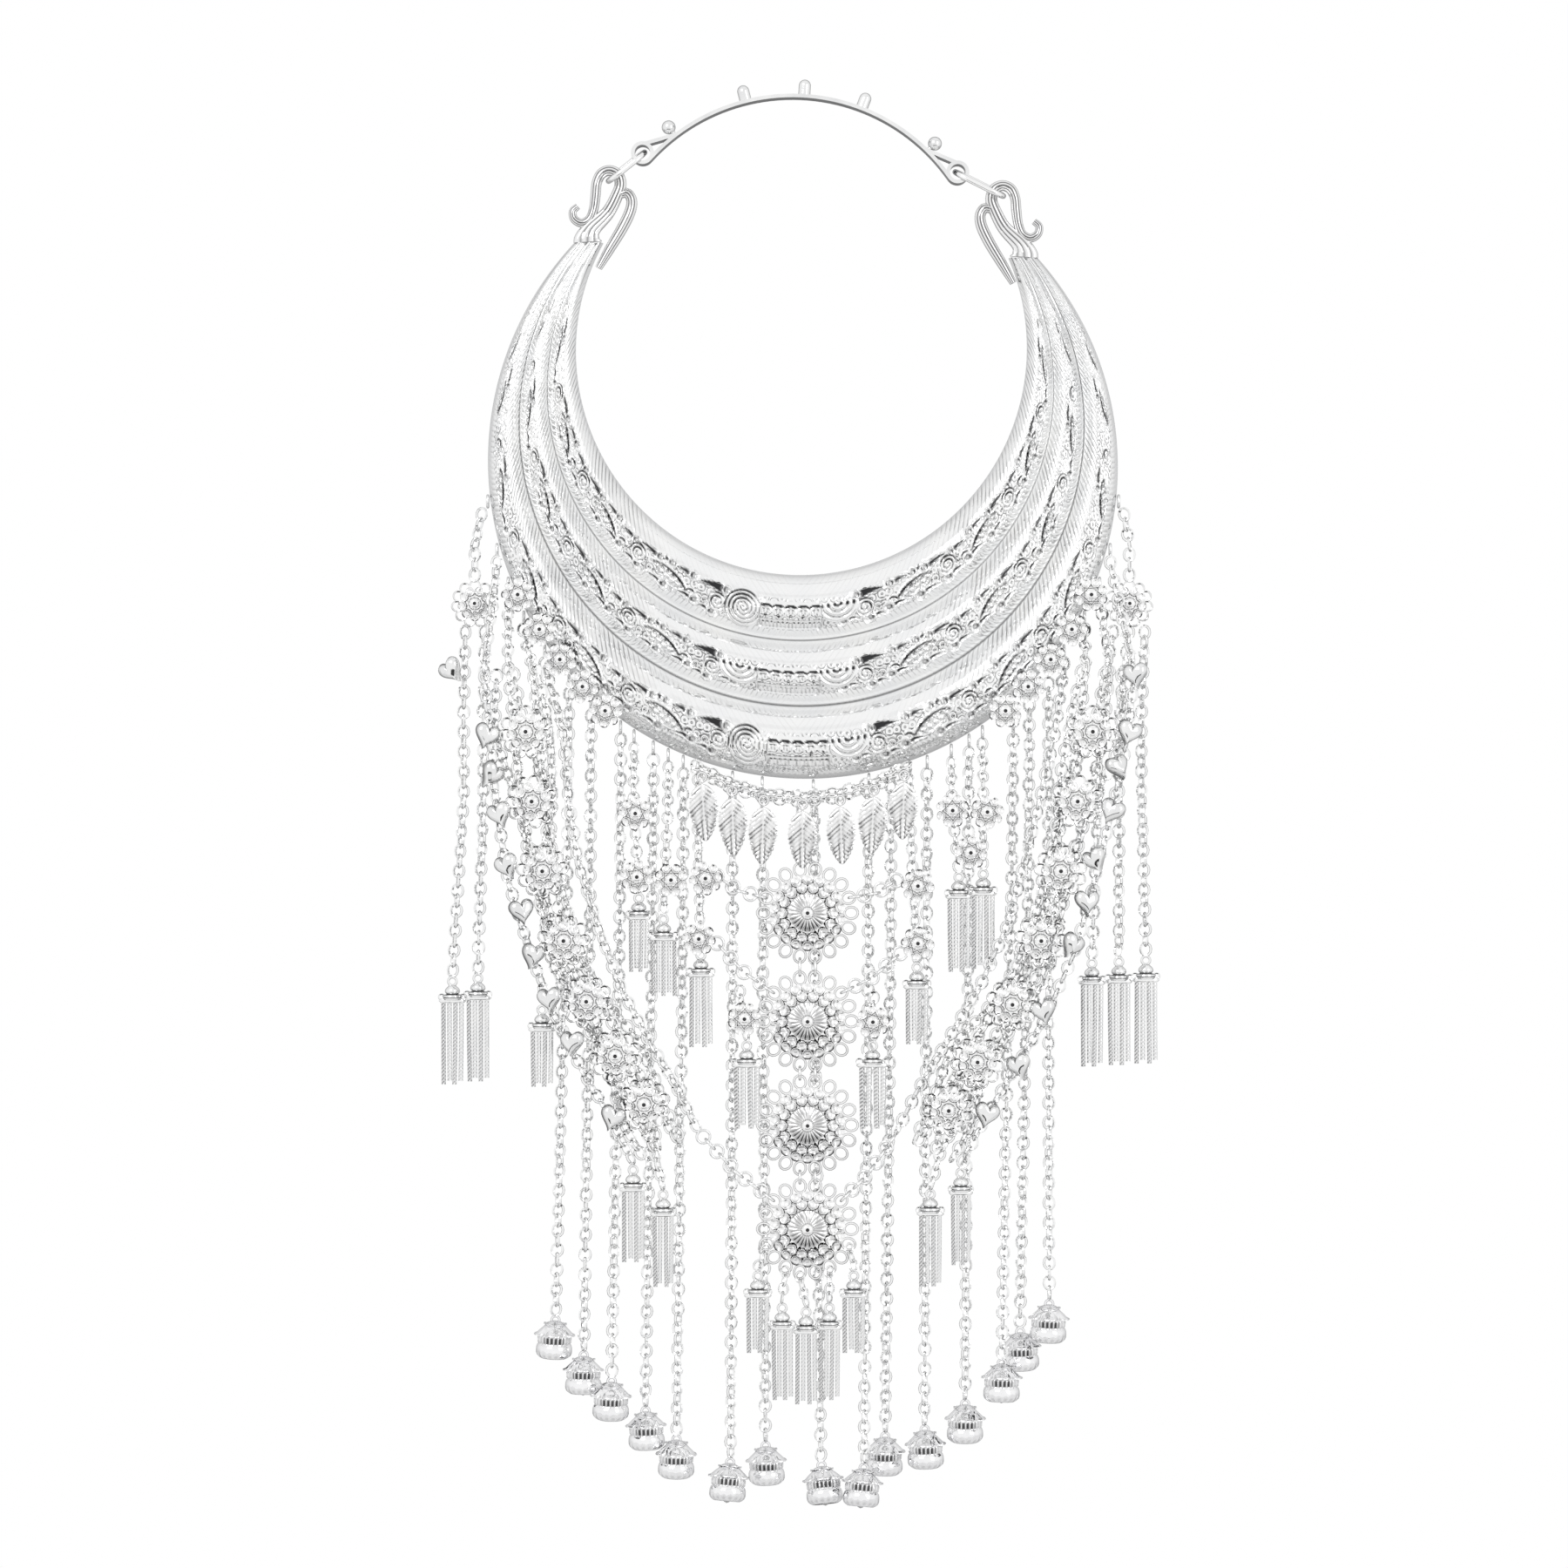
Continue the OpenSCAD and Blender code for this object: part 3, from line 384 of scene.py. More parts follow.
# Crescents: the edges are the source's circles; the front is a half-round with a beaten relief
collar = {
    "bottoms": (-158.5, -180.5, -202.0, -226.5), "shifts": (-0.5, -0.5, 0.5, 1.5), "step": 3.3,
    "half": {-1: 66, 1: 69}, "drop": {-1: -48, 1: -53}, "gap": 0.03, "back": 2.0, "deep": (4.0, 11.0),
    "widths": (22, 21.5, 24.5), "slope": 1.1, "across": 11, "strip": 2.8, "worked": (52, 24),
    "plain": (45, 25), "grid": ((760, 40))
}
bands = {
    "crescent_inner": {"middle": -3.0, "stretch": 1.0, "big": ("scroll", "basket"), "joined": (1,)},
    "crescent_middle": {"middle": -4.4, "stretch": 1.04, "big": ("basket", "basket"), "joined": (-1, 1)},
    "crescent_outer": {"middle": -2.2, "stretch": 1.08, "big": ("scroll", "basket"), "joined": (-1,)}
}


# Edge i on one side is a circle through its end and its bottom: R = (end^2 + rise^2) / 2 rise
def edgeCircle(i, side):
    endX = collar["half"][side] + i * collar["step"] - side * collar["shifts"][i]
    rise = collar["drop"][side] - collar["bottoms"][i]
    radius = (endX ** 2 + rise ** 2) / (2 * rise)
    return radius, np.arctan2(endX, radius - rise)


# Edge i at share s: shift + R sin(s angle), bottom + R - R cos(s angle), a circle on each side
def edgePoint(i, s):
    radius, angle = np.where(s < 0, *(np.array(edgeCircle(i, side))[:, None] for side in (-1, 1)))
    x = collar["shifts"][i] + radius * np.sin(s * angle)
    return np.stack([x, 0 * x, collar["bottoms"][i] + radius - radius * np.cos(s * angle)], axis=-1)


# Every motif gives where it lies, how high it stands and how black painted shade makes it, from x along and y
# down.
# Spiral: the cosine of turns of radius less the angle, with painted shade in its grooves, darkest on its
# upper outer side
def scroll(x, y, size, turns):
    r = np.hypot(x, y) / size
    wave = ripple(2 * pi * turns * r - np.arctan2(y, x))
    upper = ramp((0.6 * x - y) / size - 0.1, 0.4) * ramp(r - 0.3, 0.1)
    groove = (1 - wave) ** (7 - 5.4 * upper)
    return ramp(1.05 - r, 0.08), 0.75 * wave ** 0.6 + 0.3 * ramp(0.2 - r, 0.1), groove * (0.42 + 0.9 * upper)


# Basket: half rings that open upwards, with painted shade in the gaps between them, blackest along their
# upper ends
def basket(x, y, size, turns):
    r = np.hypot(x * 0.85, y + 2.6) / size
    wave = ripple(2 * pi * (turns - 1.2) * r)
    inside = ramp(1.04 - r, 0.08) * ramp(y + 3.2, 0.6)
    ends = ramp(-y - 1.2, 0.7)
    return inside, 0.75 * wave ** 0.6, (1 - wave) ** (7 - 5.6 * ends) * (0.42 + 0.95 * ends)


# Lens: a bead along the edge of a leaning pointed oval, two crossed sines inside, with painted shade along
# its upper edge, inside the bead and beside one sine
def lens(x, y, length, tall):
    y = y + 0.2 * x
    half = tall * np.clip(1 - (x / length) ** 2, 0, 1) ** 0.7
    inside = ramp(half + 0.55 - np.abs(y), 0.4) * (np.abs(x) < length + 0.4)
    rim = line(np.abs(y) - half + 0.1, 0.4)
    wave = 0.4 * half * np.sin(x * 2 * pi / 4.4)
    vine = np.maximum(line(y - wave, 0.35), line(y + wave, 0.35))
    black = line(y + half - 0.85, 0.55) * (0.45 + 0.55 * ramp(2.5 - x, 4))
    black = black + 0.45 * line(np.abs(y) - half + 0.65, 0.18) + 0.4 * line(y - wave, 0.15)
    return inside, np.maximum(rim, 0.8 * vine), np.clip(black, 0, 0.97)


# Leaf scroll: a sunken blade that narrows outwards behind a small bright ring, with painted shade blackening
# the blade and the ring's middle
def wedge(x, y, length, tall):
    along = np.clip((x + length) / (2 * length), 0, 1)
    bent = y + 0.7 * np.sin(pi * along)
    half = tall * (1 - along) ** 0.8
    blade = ramp(half - np.abs(bent), 0.3) * (np.abs(x) < length)
    r = np.hypot(x + length + 0.6, y + 0.3)
    ring = line(r - 1.55, 0.4)
    edge = line(np.abs(bent) - half - 0.25, 0.3) * (np.abs(x) < length)
    inside = np.maximum(np.maximum(blade, edge), ramp(2.2 - r, 0.4))
    black = blade * (1 - ring) + 0.6 * line(r - 0.6, 0.35)
    return inside, 0.1 + 0.85 * np.maximum(edge, ring), np.clip(black, 0, 0.97)


# Lotus: five arches with fans inside, beads, then a hatched skirt, with painted shade in crescents above the
# arches, between the fan's ribs, the beads and the hatching, and along the sides
def lotus(x, y, wide, tall):
    near = x - 4.1 * np.clip(np.round(x / 4.1), -2, 2)
    r = np.hypot(near, y + 0.5)
    black = ramp(0.62 - np.abs(r - 2.35), 0.2) * ramp(-y - 2.0 - 0.25 * np.cos(near * 1.5 + x), 0.25)
    arch = line(r - 1.6, 0.28) * ramp(1.2 - y, 0.4)
    fan = ripple(np.arctan2(near, 1.7 - y) * 13) * ramp(1.45 - r, 0.3)
    bead = ripple(x * 2 * pi / 1.7) * line(y - 1.7, 0.45)
    skirt = ramp(y - 2.3, 0.3) * ramp(4.6 - y, 0.4)
    hatch = ripple(x * (1 + 0.03 * y) * 2 * pi / 1.35) * skirt
    side = np.abs(x) - wide + 0.035 * y ** 2
    inside = ramp(-side + 0.5, 0.3) * ramp(tall - 0.2 - np.abs(y - 0.3), 0.6)
    level = np.maximum.reduce([arch, 0.8 * fan, 0.9 * bead, 0.7 * hatch, line(side + 0.4, 0.35)])
    gaps = 0.5 * (1 - hatch) ** 6 * skirt + 0.5 * (1 - fan) ** 6 * ramp(1.6 - r, 0.3)
    gaps = gaps + 0.6 * (1 - bead) * line(y - 1.7, 0.2) + 0.6 * line(side, 0.2)
    return inside, 0.3 + 0.5 * level, np.clip(black + gaps, 0, 0.97)


# Motifs by kind, the later over the earlier. Columns: distance along from the pattern's middle,
# distance down, size, second size
motifs = (
    (lens, ((42, -0.4, 7.2, 2.7), (71, -0.3, 7.2, 2.5), (101, 0.0, 7.0, 2.4), (130, 0.3, 6.5, 2.2),
            (158, 0.4, 5.5, 1.7), (174, 0.4, 5.0, 1.5))),
    (scroll, ((143, 0.4, 3.0, 2.2),)),
    (wedge, ((136, -3.0, 4.0, 0.9), (122, 2.6, 3.4, 0.8), (164, -2.6, 3.6, 0.8), (20, 3.4, 2.6, 0.7),
             (29, 4.2, 2.8, 0.7), (57, 3.6, 3.0, 0.8), (76, 3.4, 3.2, 0.7), (88, 3.6, 2.8, 0.8),
             (104, 3.2, 3.0, 0.7), (61, -3.2, 3.4, 1.0), (70, -4.4, 3.4, 0.9), (90, -3.4, 3.4, 1.0),
             (99, -4.2, 3.4, 0.9), (38, -4.6, 3.4, 1.0), (46, -4.8, 3.0, 0.9))),
    (scroll, ((54.5, -0.4, 3.4, 2.6), (61, 1.6, 2.2, 1.8), (84, -0.2, 3.6, 2.6), (91, 1.4, 2.3, 1.8),
              (114, 0.0, 3.4, 2.4), (33.5, 1.6, 2.2, 1.8))),
    (wedge, ((27.5, -4.2, 5.0, 1.7), (52, -4.1, 4.4, 1.1), (80, -3.8, 4.4, 1.1), (109, -3.4, 4.2, 1.0),
             (36, 3.0, 3.4, 0.8), (47, 3.6, 3.4, 0.7), (66, 2.9, 3.6, 0.8), (96, 2.9, 3.4, 0.8))),
    (scroll, ((24.4, 0.2, 3.2, 2.4),)), ("big", ((15.6, -0.4, 6.3, 4.6),)), (lotus, ((0, 0.0, 10.2, 5.2),))
)
bigMotifs = {"scroll": scroll, "basket": basket}


# Each motif covers what is under it, height = height (1 - inside) + level * inside, in a strip below
# the middle; the plain ends have ripples and three grooves. The marks say where the shader engraves:
# slanting lines above the strip, short strokes below it, curls between the motifs. Walls beside a
# neighbour are matt
def relief(along, share, worked, look):
    a = along - look["middle"]
    down = share * collar["across"] - collar["strip"]
    above = ramp(-down - 4.6, 1.2)
    below = ramp(down - 3.4, 0.5) * ramp(7.2 - down, 1.6)
    height = 0.34 + 0.06 * above
    tone = 0 * height
    ground = 1 + 0 * height
    for kind, (reach, lift, size, second) in ((kind, row) for kind, rows in motifs for row in rows):
        x = a if kind == lotus else np.abs(a) - reach * look["stretch"]
        if kind == "big":
            pair = [np.stack(bigMotifs[which](x, down - lift, size, second)) for which in look["big"]]
            inside, level, dark = np.where(a < 0, *pair)
        else:
            inside, level, dark = kind(x, down - lift, size, second)
        inside = inside * (np.abs(x) < size + 3)
        height = height * (1 - inside) + level * inside
        tone = tone * (1 - inside) + dark * inside
        ground = ground * (1 - inside)
    border = ramp(share + 0.99, 0.05) * ramp(0.99 - share, 0.07)
    engraved = line(share + 0.6, 0.03) + line(share - 0.12, 0.03) + line(share - 0.62, 0.03)
    plain = 0.4 * ripple(share * 2 * pi * 1.5) - 0.25 * engraved
    height = worked * height * border + (1 - worked) * plain
    # Painted shade: the motifs' blackness on the worked part; on the plain ends a light grey tone with
    # painted shade in the three grooves
    tone = np.clip(tone * border, 0, 0.97) * worked + (0.06 + 0.6 * engraved) * (1 - worked)
    wall = 0.6 * ramp(np.abs(share) - 0.88, 0.08)
    flank = ramp(np.abs(a) - collar["plain"][0], collar["plain"][1])
    ground = ground * worked * (1 - wall)
    zones = (above * (0.08 + 0.92 * flank), below, (1 - above) * ramp(4.0 - down, 0.5))
    marks = [np.abs(a), down, 0 * down] + [ground * zone for zone in zones]
    seam = sum(line(side * share - 1, 0.035) for side in look["joined"])
    tone = np.clip(tone * (1 - wall) - 0.9 * wall * (1 - seam), -1, 1)
    # Painted shade: a dark line along each seam with a neighbour, and darker towards the band's outer, lower
    # edge
    tone = tone + 0.42 * seam + 0.1 * ramp(share - 0.6, 0.3)
    return height, np.stack([tone] + marks, axis=-1)


# point = inner edge + (outer - inner) (1 - cos t) / 2, front = back - depth sin t, plus the relief.
# Towards a neighbour the front runs on straight from where the half-round reaches the slope, as in
# a soldered seam. Rows and columns are closest where the motifs are
def makeCrescent(name, band, look):
    rows, cols = collar["grid"]
    s = np.concatenate([np.linspace(-1, -0.84, rows // 24)[:-1], np.linspace(-0.84, 0.84, rows),
                        np.linspace(0.84, 1, rows // 24)[1:]])
    t = np.concatenate([np.linspace(0, 1.2, cols // 4)[:-1], np.linspace(1.2, 2.55, cols),
                        np.linspace(2.55, pi, cols // 6)[1:]])
    inner, outer = edgePoint(band, s), edgePoint(band + 1, s)
    full = np.linalg.norm(outer - inner, axis=1)
    gap = (outer - inner) / full[:, None] * collar["gap"]
    inner, outer = inner + gap, outer - gap
    share = -np.cos(t)[None]
    low, high = collar["deep"]
    swell = (full - collar["step"]) / (collar["widths"][band] - collar["step"])
    depth = (low + (high - low) * swell)[:, None]
    points = inner[:, None] + (outer - inner)[:, None] * (share[..., None] + 1) / 2
    front, wide = depth * np.sin(t)[None], full[:, None] / 2
    steepest = collar["slope"] / np.sqrt((depth / wide) ** 2 + collar["slope"] ** 2)
    for side in look["joined"]:
        past = side * share - steepest
        straight = depth * np.sqrt(1 - steepest ** 2) - collar["slope"] * past * wide
        front = np.where(past > 0, straight, front)
    points[..., 1] = collar["back"] - front
    normal = unitRows(np.cross(np.gradient(points, axis=1), np.gradient(points, axis=0)))
    normal[..., 1] = -np.abs(normal[..., 1]) - 0.5
    normal = unitRows(normal)
    along = np.cumsum(np.linalg.norm(np.diff((inner + outer) / 2, axis=0), axis=1))
    along = np.concatenate([[0], along])
    along = (along - np.interp(0, s, along))[:, None]
    worked = ramp(-points[..., 2] - collar["worked"][0], collar["worked"][1])
    height, data = relief(along + 0 * share, share + 0 * along, worked, look)
    taper = ramp(full - 5, 8)[:, None]
    inset = 1 - ramp(np.abs(share) - 0.8, 0.14)
    points = points + normal * ((height * (0.4 + 0.6 * taper) - 0.45) * inset)[..., None]
    backs = np.stack([points[:, -1] * (1 - f) + points[:, 0] * f for f in (0.02, 0.5, 0.98)], axis=1)
    backs[..., 1] = collar["back"]
    data = np.concatenate([data, np.zeros((len(s), 3, data.shape[2]))], axis=1)
    points, faces, data = cappedSurface(np.concatenate([points, backs], axis=1), data)
    marks = {"band": data[:, 1:4], "engraving": data[:, 4:7]}
    makePiece(name, "relief", (points, faces, data[:, 0]), beaten, 60, marks)


for band, (name, look) in enumerate(bands.items()):
    makeCrescent(name, band, look)
print("crescents made")

# Rings under the rim, the outer edge: the formulas of the source's ring_centre and under_ring
rim = {"edge": 3, "ring": 1.9, "off": 0.55, "under": 2.55, "back": 2.2}
rim["shift"], rim["bottom"] = collar["shifts"][rim["edge"]], collar["bottoms"][rim["edge"]]


# The rim's radius on the side where x lies
def rimRadius(x):
    return edgeCircle(rim["edge"], -1 if x < rim["shift"] else 1)[0]


# z on the rim below x: middle - sqrt(R^2 - (x - shift)^2)
def onRim(x):
    radius = rimRadius(x)
    return np.array([x, rim["bottom"] + radius - sqrt(radius ** 2 - (x - rim["shift"]) ** 2)])


# x on the rim beside z: shift + side sqrt(R^2 - (z - middle)^2)
def onFlank(side, z):
    radius = edgeCircle(rim["edge"], side)[0]
    return np.array([rim["shift"] + side * sqrt(radius ** 2 - (z - rim["bottom"] - radius) ** 2), z])


# A ring that faces sideways stands off the rim along the radius, and the next piece hangs under it
def underRing(place, y):
    away = place - np.array([rim["shift"], rim["bottom"] + rimRadius(place[0])])
    away = away / np.linalg.norm(away)
    centre = place + away * (rim["ring"] * abs(away[1]) + rim["off"])
    return np.array([centre[0], y, centre[1] - rim["under"]])


# Bell columns: x at the rim, x of the bell, z of the brim, y, tilt, turn
bellRows = (
    (-76.1, -82, -413, 4, 2, 3), (-68.8, -72.5, -424.5, 1.5, -2, 1), (-59, -62.9, -432.1, -7, 3, 2),
    (-48.3, -52, -443, 1.5, 1, -2), (-38.5, -41.5, -452, -2, 3, 1), (-22.4, -23.5, -459, -7, -9, 5),
    (-12.7, -12, -455, 4, 2, -2), (3.9, 6.5, -461, 0, -11, -6), (22, 20.8, -461, -5.5, -8, 5),
    (29.3, 28, -452, 5, 2, 1), (41, 41, -449, 0, 1, -2), (54.7, 54.5, -440.5, 0, 3, 0),
    (69.4, 66.5, -426, -7, -2, 1), (74.7, 73, -417, 4.5, 2, -2), (81.1, 82.5, -407, -1.5, 1, 2)
)
# Bell profiles: radius and height from the bell's top
bellLook = {
    "body": ((0, -2.3), (3.0, -3.0), (4.7, -4.9), (5.1, -6.4), (5.4, -6.8), (5.45, -7.5), (5.45, -8.5),
             (5.35, -9.2), (5.2, -9.5), (5.7, -9.9), (6.0, -10.8), (6.05, -11.8), (5.9, -12.7), (5.5, -13.5),
             (4.9, -14.1), (4.2, -14.5), (3.9, -14.45), (4.3, -13.0), (4.2, -7.0), (2.0, -3.8), (0, -3.4)),
    "clapper": ((0, -12.4), (0.9, -12.9), (1.25, -13.8), (0.9, -14.7), (0, -15.1)),
    "rod": ((0, -3.4), (0.35, -3.4), (0.35, -12.6), (0, -12.6)),
    "petals": 5, "crimps": 24, "scallops": 16, "sides": 96, "top": 7.6, "hang": 7.8
}


# Crimps ripple the neck and scallops curl the lip, both cosines of the angle
def bellWave(height, angle):
    neck = ramp(-height - 6.9, 0.3) * ramp(height + 9.5, 0.3)
    lip = ramp(-height - 12.4, 0.5) * ramp(height + 14.3, 0.4)
    crimps, scallops = (np.cos(angle * bellLook[key]) for key in ("crimps", "scallops"))
    return neck * crimps * 0.045 + lip * 0.03 * scallops


# Painted shade in the crimps' hollows, blackest on the front, and along the lip between its scallops
def bellTone(height, angle):
    neck = ramp(-height - 6.9, 0.2) * ramp(height + 9.5, 0.2)
    crimp = ramp(0.45 - np.cos(angle * bellLook["crimps"]), 0.6)
    front = 0.3 + 0.67 * ramp(-np.sin(angle) - 0.74, 0.1)
    lip = 0.3 * line(height + 13.6, 0.5) * (1 - ripple(angle * bellLook["scallops"]))
    return np.clip(neck * crimp * front + lip, 0, 0.97)


# One tier of petals: reach = dome + (cap - dome) |cos|^0.6, falling as the share of the reach to the
# power 1.9; each petal's edge is frilled and curls up, and the gaps between petals are hollow, with
# painted shade in the gaps and along the frilled edge
def petalTier(dome, cap, top, edge, turn, rows=9, sides=72):
    angle = fullTurn(sides)
    share = shares(rows)
    petal = np.abs(np.cos((angle - turn) * bellLook["petals"] / 2)) ** 0.6
    frill = np.cos(angle * 24)
    curl = ramp(share - 0.85, 0.15)
    radius = share * (dome + (cap - dome) * petal) * (1 + 0.02 * frill * curl)
    upper = top + (edge - top) * share ** 1.9 + (0.6 * petal + 0.15 * frill) * curl
    upper = upper + 0.3 * (1 - petal) * ramp(share - 0.3, 0.3)
    shade = 0.5 * (1 - petal) ** 3 * ramp(share - 0.5, 0.3)
    shade = np.clip(shade + 0.4 * (0.5 - 0.5 * frill) * line(share - 0.98, 0.05), 0, 0.9)
    radius = np.concatenate([radius, radius[::-1]])
    height = np.concatenate([upper, (upper - 0.4)[::-1]])
    grid = np.stack([radius * np.cos(angle), radius * np.sin(angle), height], axis=-1)
    return closedSurface(grid, np.concatenate([shade, 0 * shade]))


bell = joined([
    turnedShape(bellLook["body"], bellLook["sides"], bellTone, bellWave),
    petalTier(2.9, 4.0, -1.9, -3.4, pi / 2, 7, 40), petalTier(4.7, 7.0, -2.4, -6.9, -pi / 2),
    # The clapper is painted grey as the shade inside the bell
    turnedShape(bellLook["clapper"], 12, lambda height, angle: 0.55 + 0 * height),
    turnedShape(bellLook["rod"], 6), moved(wireRing(1.3, 0.42, 16, 6), (0, 0, -1.75))
])
for i, (rimX, bellX, brimZ, y, tilt, turn) in enumerate(bellRows):
    top = underRing(onRim(rimX), rim["back"])
    foot = np.array([bellX, y, brimZ + bellLook["hang"]])
    drop, lean = top[2] - foot[2], top[0] - foot[0]
    path = [top, top - [lean * 0.15, 0, drop * 0.3], top - [lean * 0.6, 0, drop * 0.65], foot]
    makePiece(f"bell_chain_{i + 1}", "links", chainRun(path, 10 + i), polished)
    hung = moved(bell, (bellX, y, brimZ + bellLook["top"]), turn, tilt)
    makePiece(f"bell_{i + 1}", "petalled", hung, spun, 60)
print("bells made")

# Side chains: a plate on each flank, one chain above it and the others below. Columns: x at the
# plate, x further down, x and z of the foot
sideRows = {
    "left": ((-112.2, -112.8, -116.5, -292), (-105.8, -106.2, -108, -291)),
    "right": ((104.3, 99.5, 97, -286), (109.5, 106, 106, -285.5), (114.7, 113.5, 115, -285))
}
sideLook = {"plate": {"left": -109, "right": 109.5}, "ringZ": -134, "out": 1.8, "y": 4, "plateTop": -160.1,
            "plateFoot": -175.9, "straight": 30, "bend": 60}
flanks = ((-1, "left"), (1, "right"))
for side, name in flanks:
    plateX, y = sideLook["plate"][name], sideLook["y"]
    top = underRing(onFlank(side, sideLook["ringZ"]), rim["back"]) + [side * sideLook["out"], 0, 0]
    middleZ = (top[2] + sideLook["plateTop"]) / 2
    runs = [chainRun([top, [plateX, y, middleZ], [plateX, y, sideLook["plateTop"]]], 40 + side)]
    for k, (x, half, footX, footZ) in enumerate(sideRows[name]):
        route = [[x, y, sideLook["plateFoot"]], [half, y, sideLook["plateFoot"] - sideLook["straight"]],
                 [half, y, footZ + sideLook["bend"]], [footX, y, footZ]]
        runs.append(chainRun(route, 50 + 5 * k + side))
    makePiece(f"side_chains_{name}", "links", joined(runs), polished)
print("side chains made")

# Garlands: four chains square to a middle line of x and z, and three that wander between them
garlands = {
    "left": ((-93, -190), (-91, -211), (-89, -234), (-85.5, -257), (-78.5, -280), (-71, -300),
             (-61.5, -318), (-52, -334), (-45, -348)),
    "right": ((98, -190), (96, -211), (91, -234), (85.5, -257), (79, -280), (69.5, -301),
              (58, -320), (48.5, -336), (42, -349)),
    "tops": (-150, -161, -172, -183), "offsets": (12, 4, -4, -12), "y": -11, "topY": -1.5,
    "tails": {"left": (-45.8, -11, -362), "right": (42.6, -11, -361.8)},
    "wander": ((8, 0), (0, -8), (-8, 8)), "sway": 3
}


# strand point = line point + offset * (side * -along z, side * along x)
def strandPoints(name, side, offset):
    middle = np.array(garlands[name], float)
    padded = np.vstack([middle[:1], middle, middle[-1:]])
    along = unitRows(padded[2:] - padded[:-2])
    out = middle + np.stack([side * -along[:, 1], side * along[:, 0]], axis=1) * np.reshape(offset, (-1, 1))
    return np.stack([out[:, 0], np.full(len(out), garlands["y"]), out[:, 1]], axis=1)


for side, name in flanks:
    runs = []
    for k, (topZ, offset) in enumerate(zip(garlands["tops"], garlands["offsets"])):
        top = underRing(onFlank(side, topZ), garlands["topY"])
        points = strandPoints(name, side, offset)[1 if k == 3 else 0:]
        tail = [garlands["tails"][name]] if k == 1 else []
        runs.append(chainRun([top, top - [0, 0, 2], *points, *tail], 70 + k * 3 + side))
    for k, (first, last) in enumerate(garlands["wander"]):
        step = np.arange(len(garlands[name]))
        offset = np.linspace(first, last, len(step)) + garlands["sway"] * np.sin(step * 1.7 + k)
        points = strandPoints(name, side, offset) + [0, 1.6 - 0.8 * k, 0]
        runs.append(chainRun(smoothPath(points, 60), 85 + k * 3 + side))
    makePiece(f"garland_{name}", "links", joined(runs), polished)
print("garlands made")

leafChain = {"x": (-36, -24, -12, 0, 12, 24, 36), "y": -5.1, "z": -233, "rise": 9, "half": 33,
             "rows": (1.0, -1.2), "under": 2.7}


# The chain sags to z in the middle: z + rise (x / half)^2
def leafChainZ(x):
    return leafChain["z"] + leafChain["rise"] * (x / leafChain["half"]) ** 2


leafLine = np.array([(x, leafChain["y"], leafChainZ(x)) for x in leafChain["x"]])
runs = [chainRun(leafLine + [0, 0, lift], 90 + k, rowLinks) for k, lift in enumerate(leafChain["rows"])]
makePiece("leaf_chain", "links", joined(runs), polished)

# Rosettes: middles, the ring of wire loops; cup rings: radius, count, size, y, lean, turn
rosetteLook = {"z": (-271, -307, -341.5, -376), "x": 2, "y": -3.6, "ring": 14.6, "size": 10,
               "cups": ((10.6, 18, 1.85, -0.9, 24, 0), (8.0, 14, 1.75, -1.7, 26, 0.5)),
               "spokes": (1.9, 6.2, 1.0, 1.9, 24), "spokesY": -1.7, "dome": 2.3, "domeY": -3.1}


# A loop's centre on rosette i: x + ring sin(angle), z + ring cos(angle)
def rosetteLoop(i, angle):
    turn = radians(angle)
    return np.array([rosetteLook["x"] + rosetteLook["ring"] * sin(turn), rosetteLook["y"] - 0.5,
                     rosetteLook["z"][i] + rosetteLook["ring"] * cos(turn)])


# Tassel columns: x, y, z of the ring's top, strands, width, length
tassels = {
    "left": ((-54, -5.8, -264, 4, 7, 18), (-45.8, -5.8, -271, 5, 9, 19), (-33.4, -5.8, -283, 4, 8, 24),
             (-86, -7.9, -301, 4, 8, 19), (-55.7, -11, -353.8, 4, 8, 24), (-45.8, -11, -362, 4, 7.5, 24),
             (-18.2, -5.8, -313, 4, 9, 21)),
    "right": ((38.3, -5.8, -287, 4, 8, 19), (52.2, -5.8, -257, 4, 8, 25), (60.3, -5.8, -256, 4, 8, 25),
              (52.7, -11, -354.8, 4, 7, 24), (42.6, -11, -361.8, 4, 8, 24), (23.6, -5.8, -313, 4, 9.5, 21)),
    "bottom": ((-14.5, -9.6, -389, 4, 8, 19), (-6.4, -9.6, -399.6, 4, 7.5, 24), (1.5, -9.6, -401, 4, 7.5, 24),
               (9.2, -9.6, -399.6, 4, 7.5, 24), (17.3, -9.6, -389, 4, 8, 19))
}
# Short chains. rim: x at the rim, x and z of the foot; swag: x and z of both ends; loops: angles of
# the lowest rosette's loops that carry the bottom tassels
dropLook = {
    "rim": ((-54.6, -54, -264), (-43.4, -45.8, -271), (-33.7, -33.4, -283), (35.4, 38.3, -287),
            (48.9, 52.2, -257), (59.1, 60.3, -256)),
    "swag": ((-20.6, -295.5, -18.2, -313), (24, -297.5, 23.6, -313)), "loops": (-110, -150, -170, 150, 110),
    "y": -5.8, "loopY": -6.3, "bend": 16
}
y, loopY = dropLook["y"], dropLook["loopY"]
runs = []
for k, (rimX, footX, footZ) in enumerate(dropLook["rim"]):
    top = underRing(onRim(rimX), 0.2)
    route = [top, top - [0, 0, 2], [top[0], y, top[2] - dropLook["bend"]], [footX, y, footZ]]
    runs.append(chainRun(route, 100 + k, rowLinks))
for k, (x, z, footX, footZ) in enumerate(dropLook["swag"]):
    runs.append(chainRun([[x, y, z], [footX, y, footZ]], 110 + k, rowLinks))
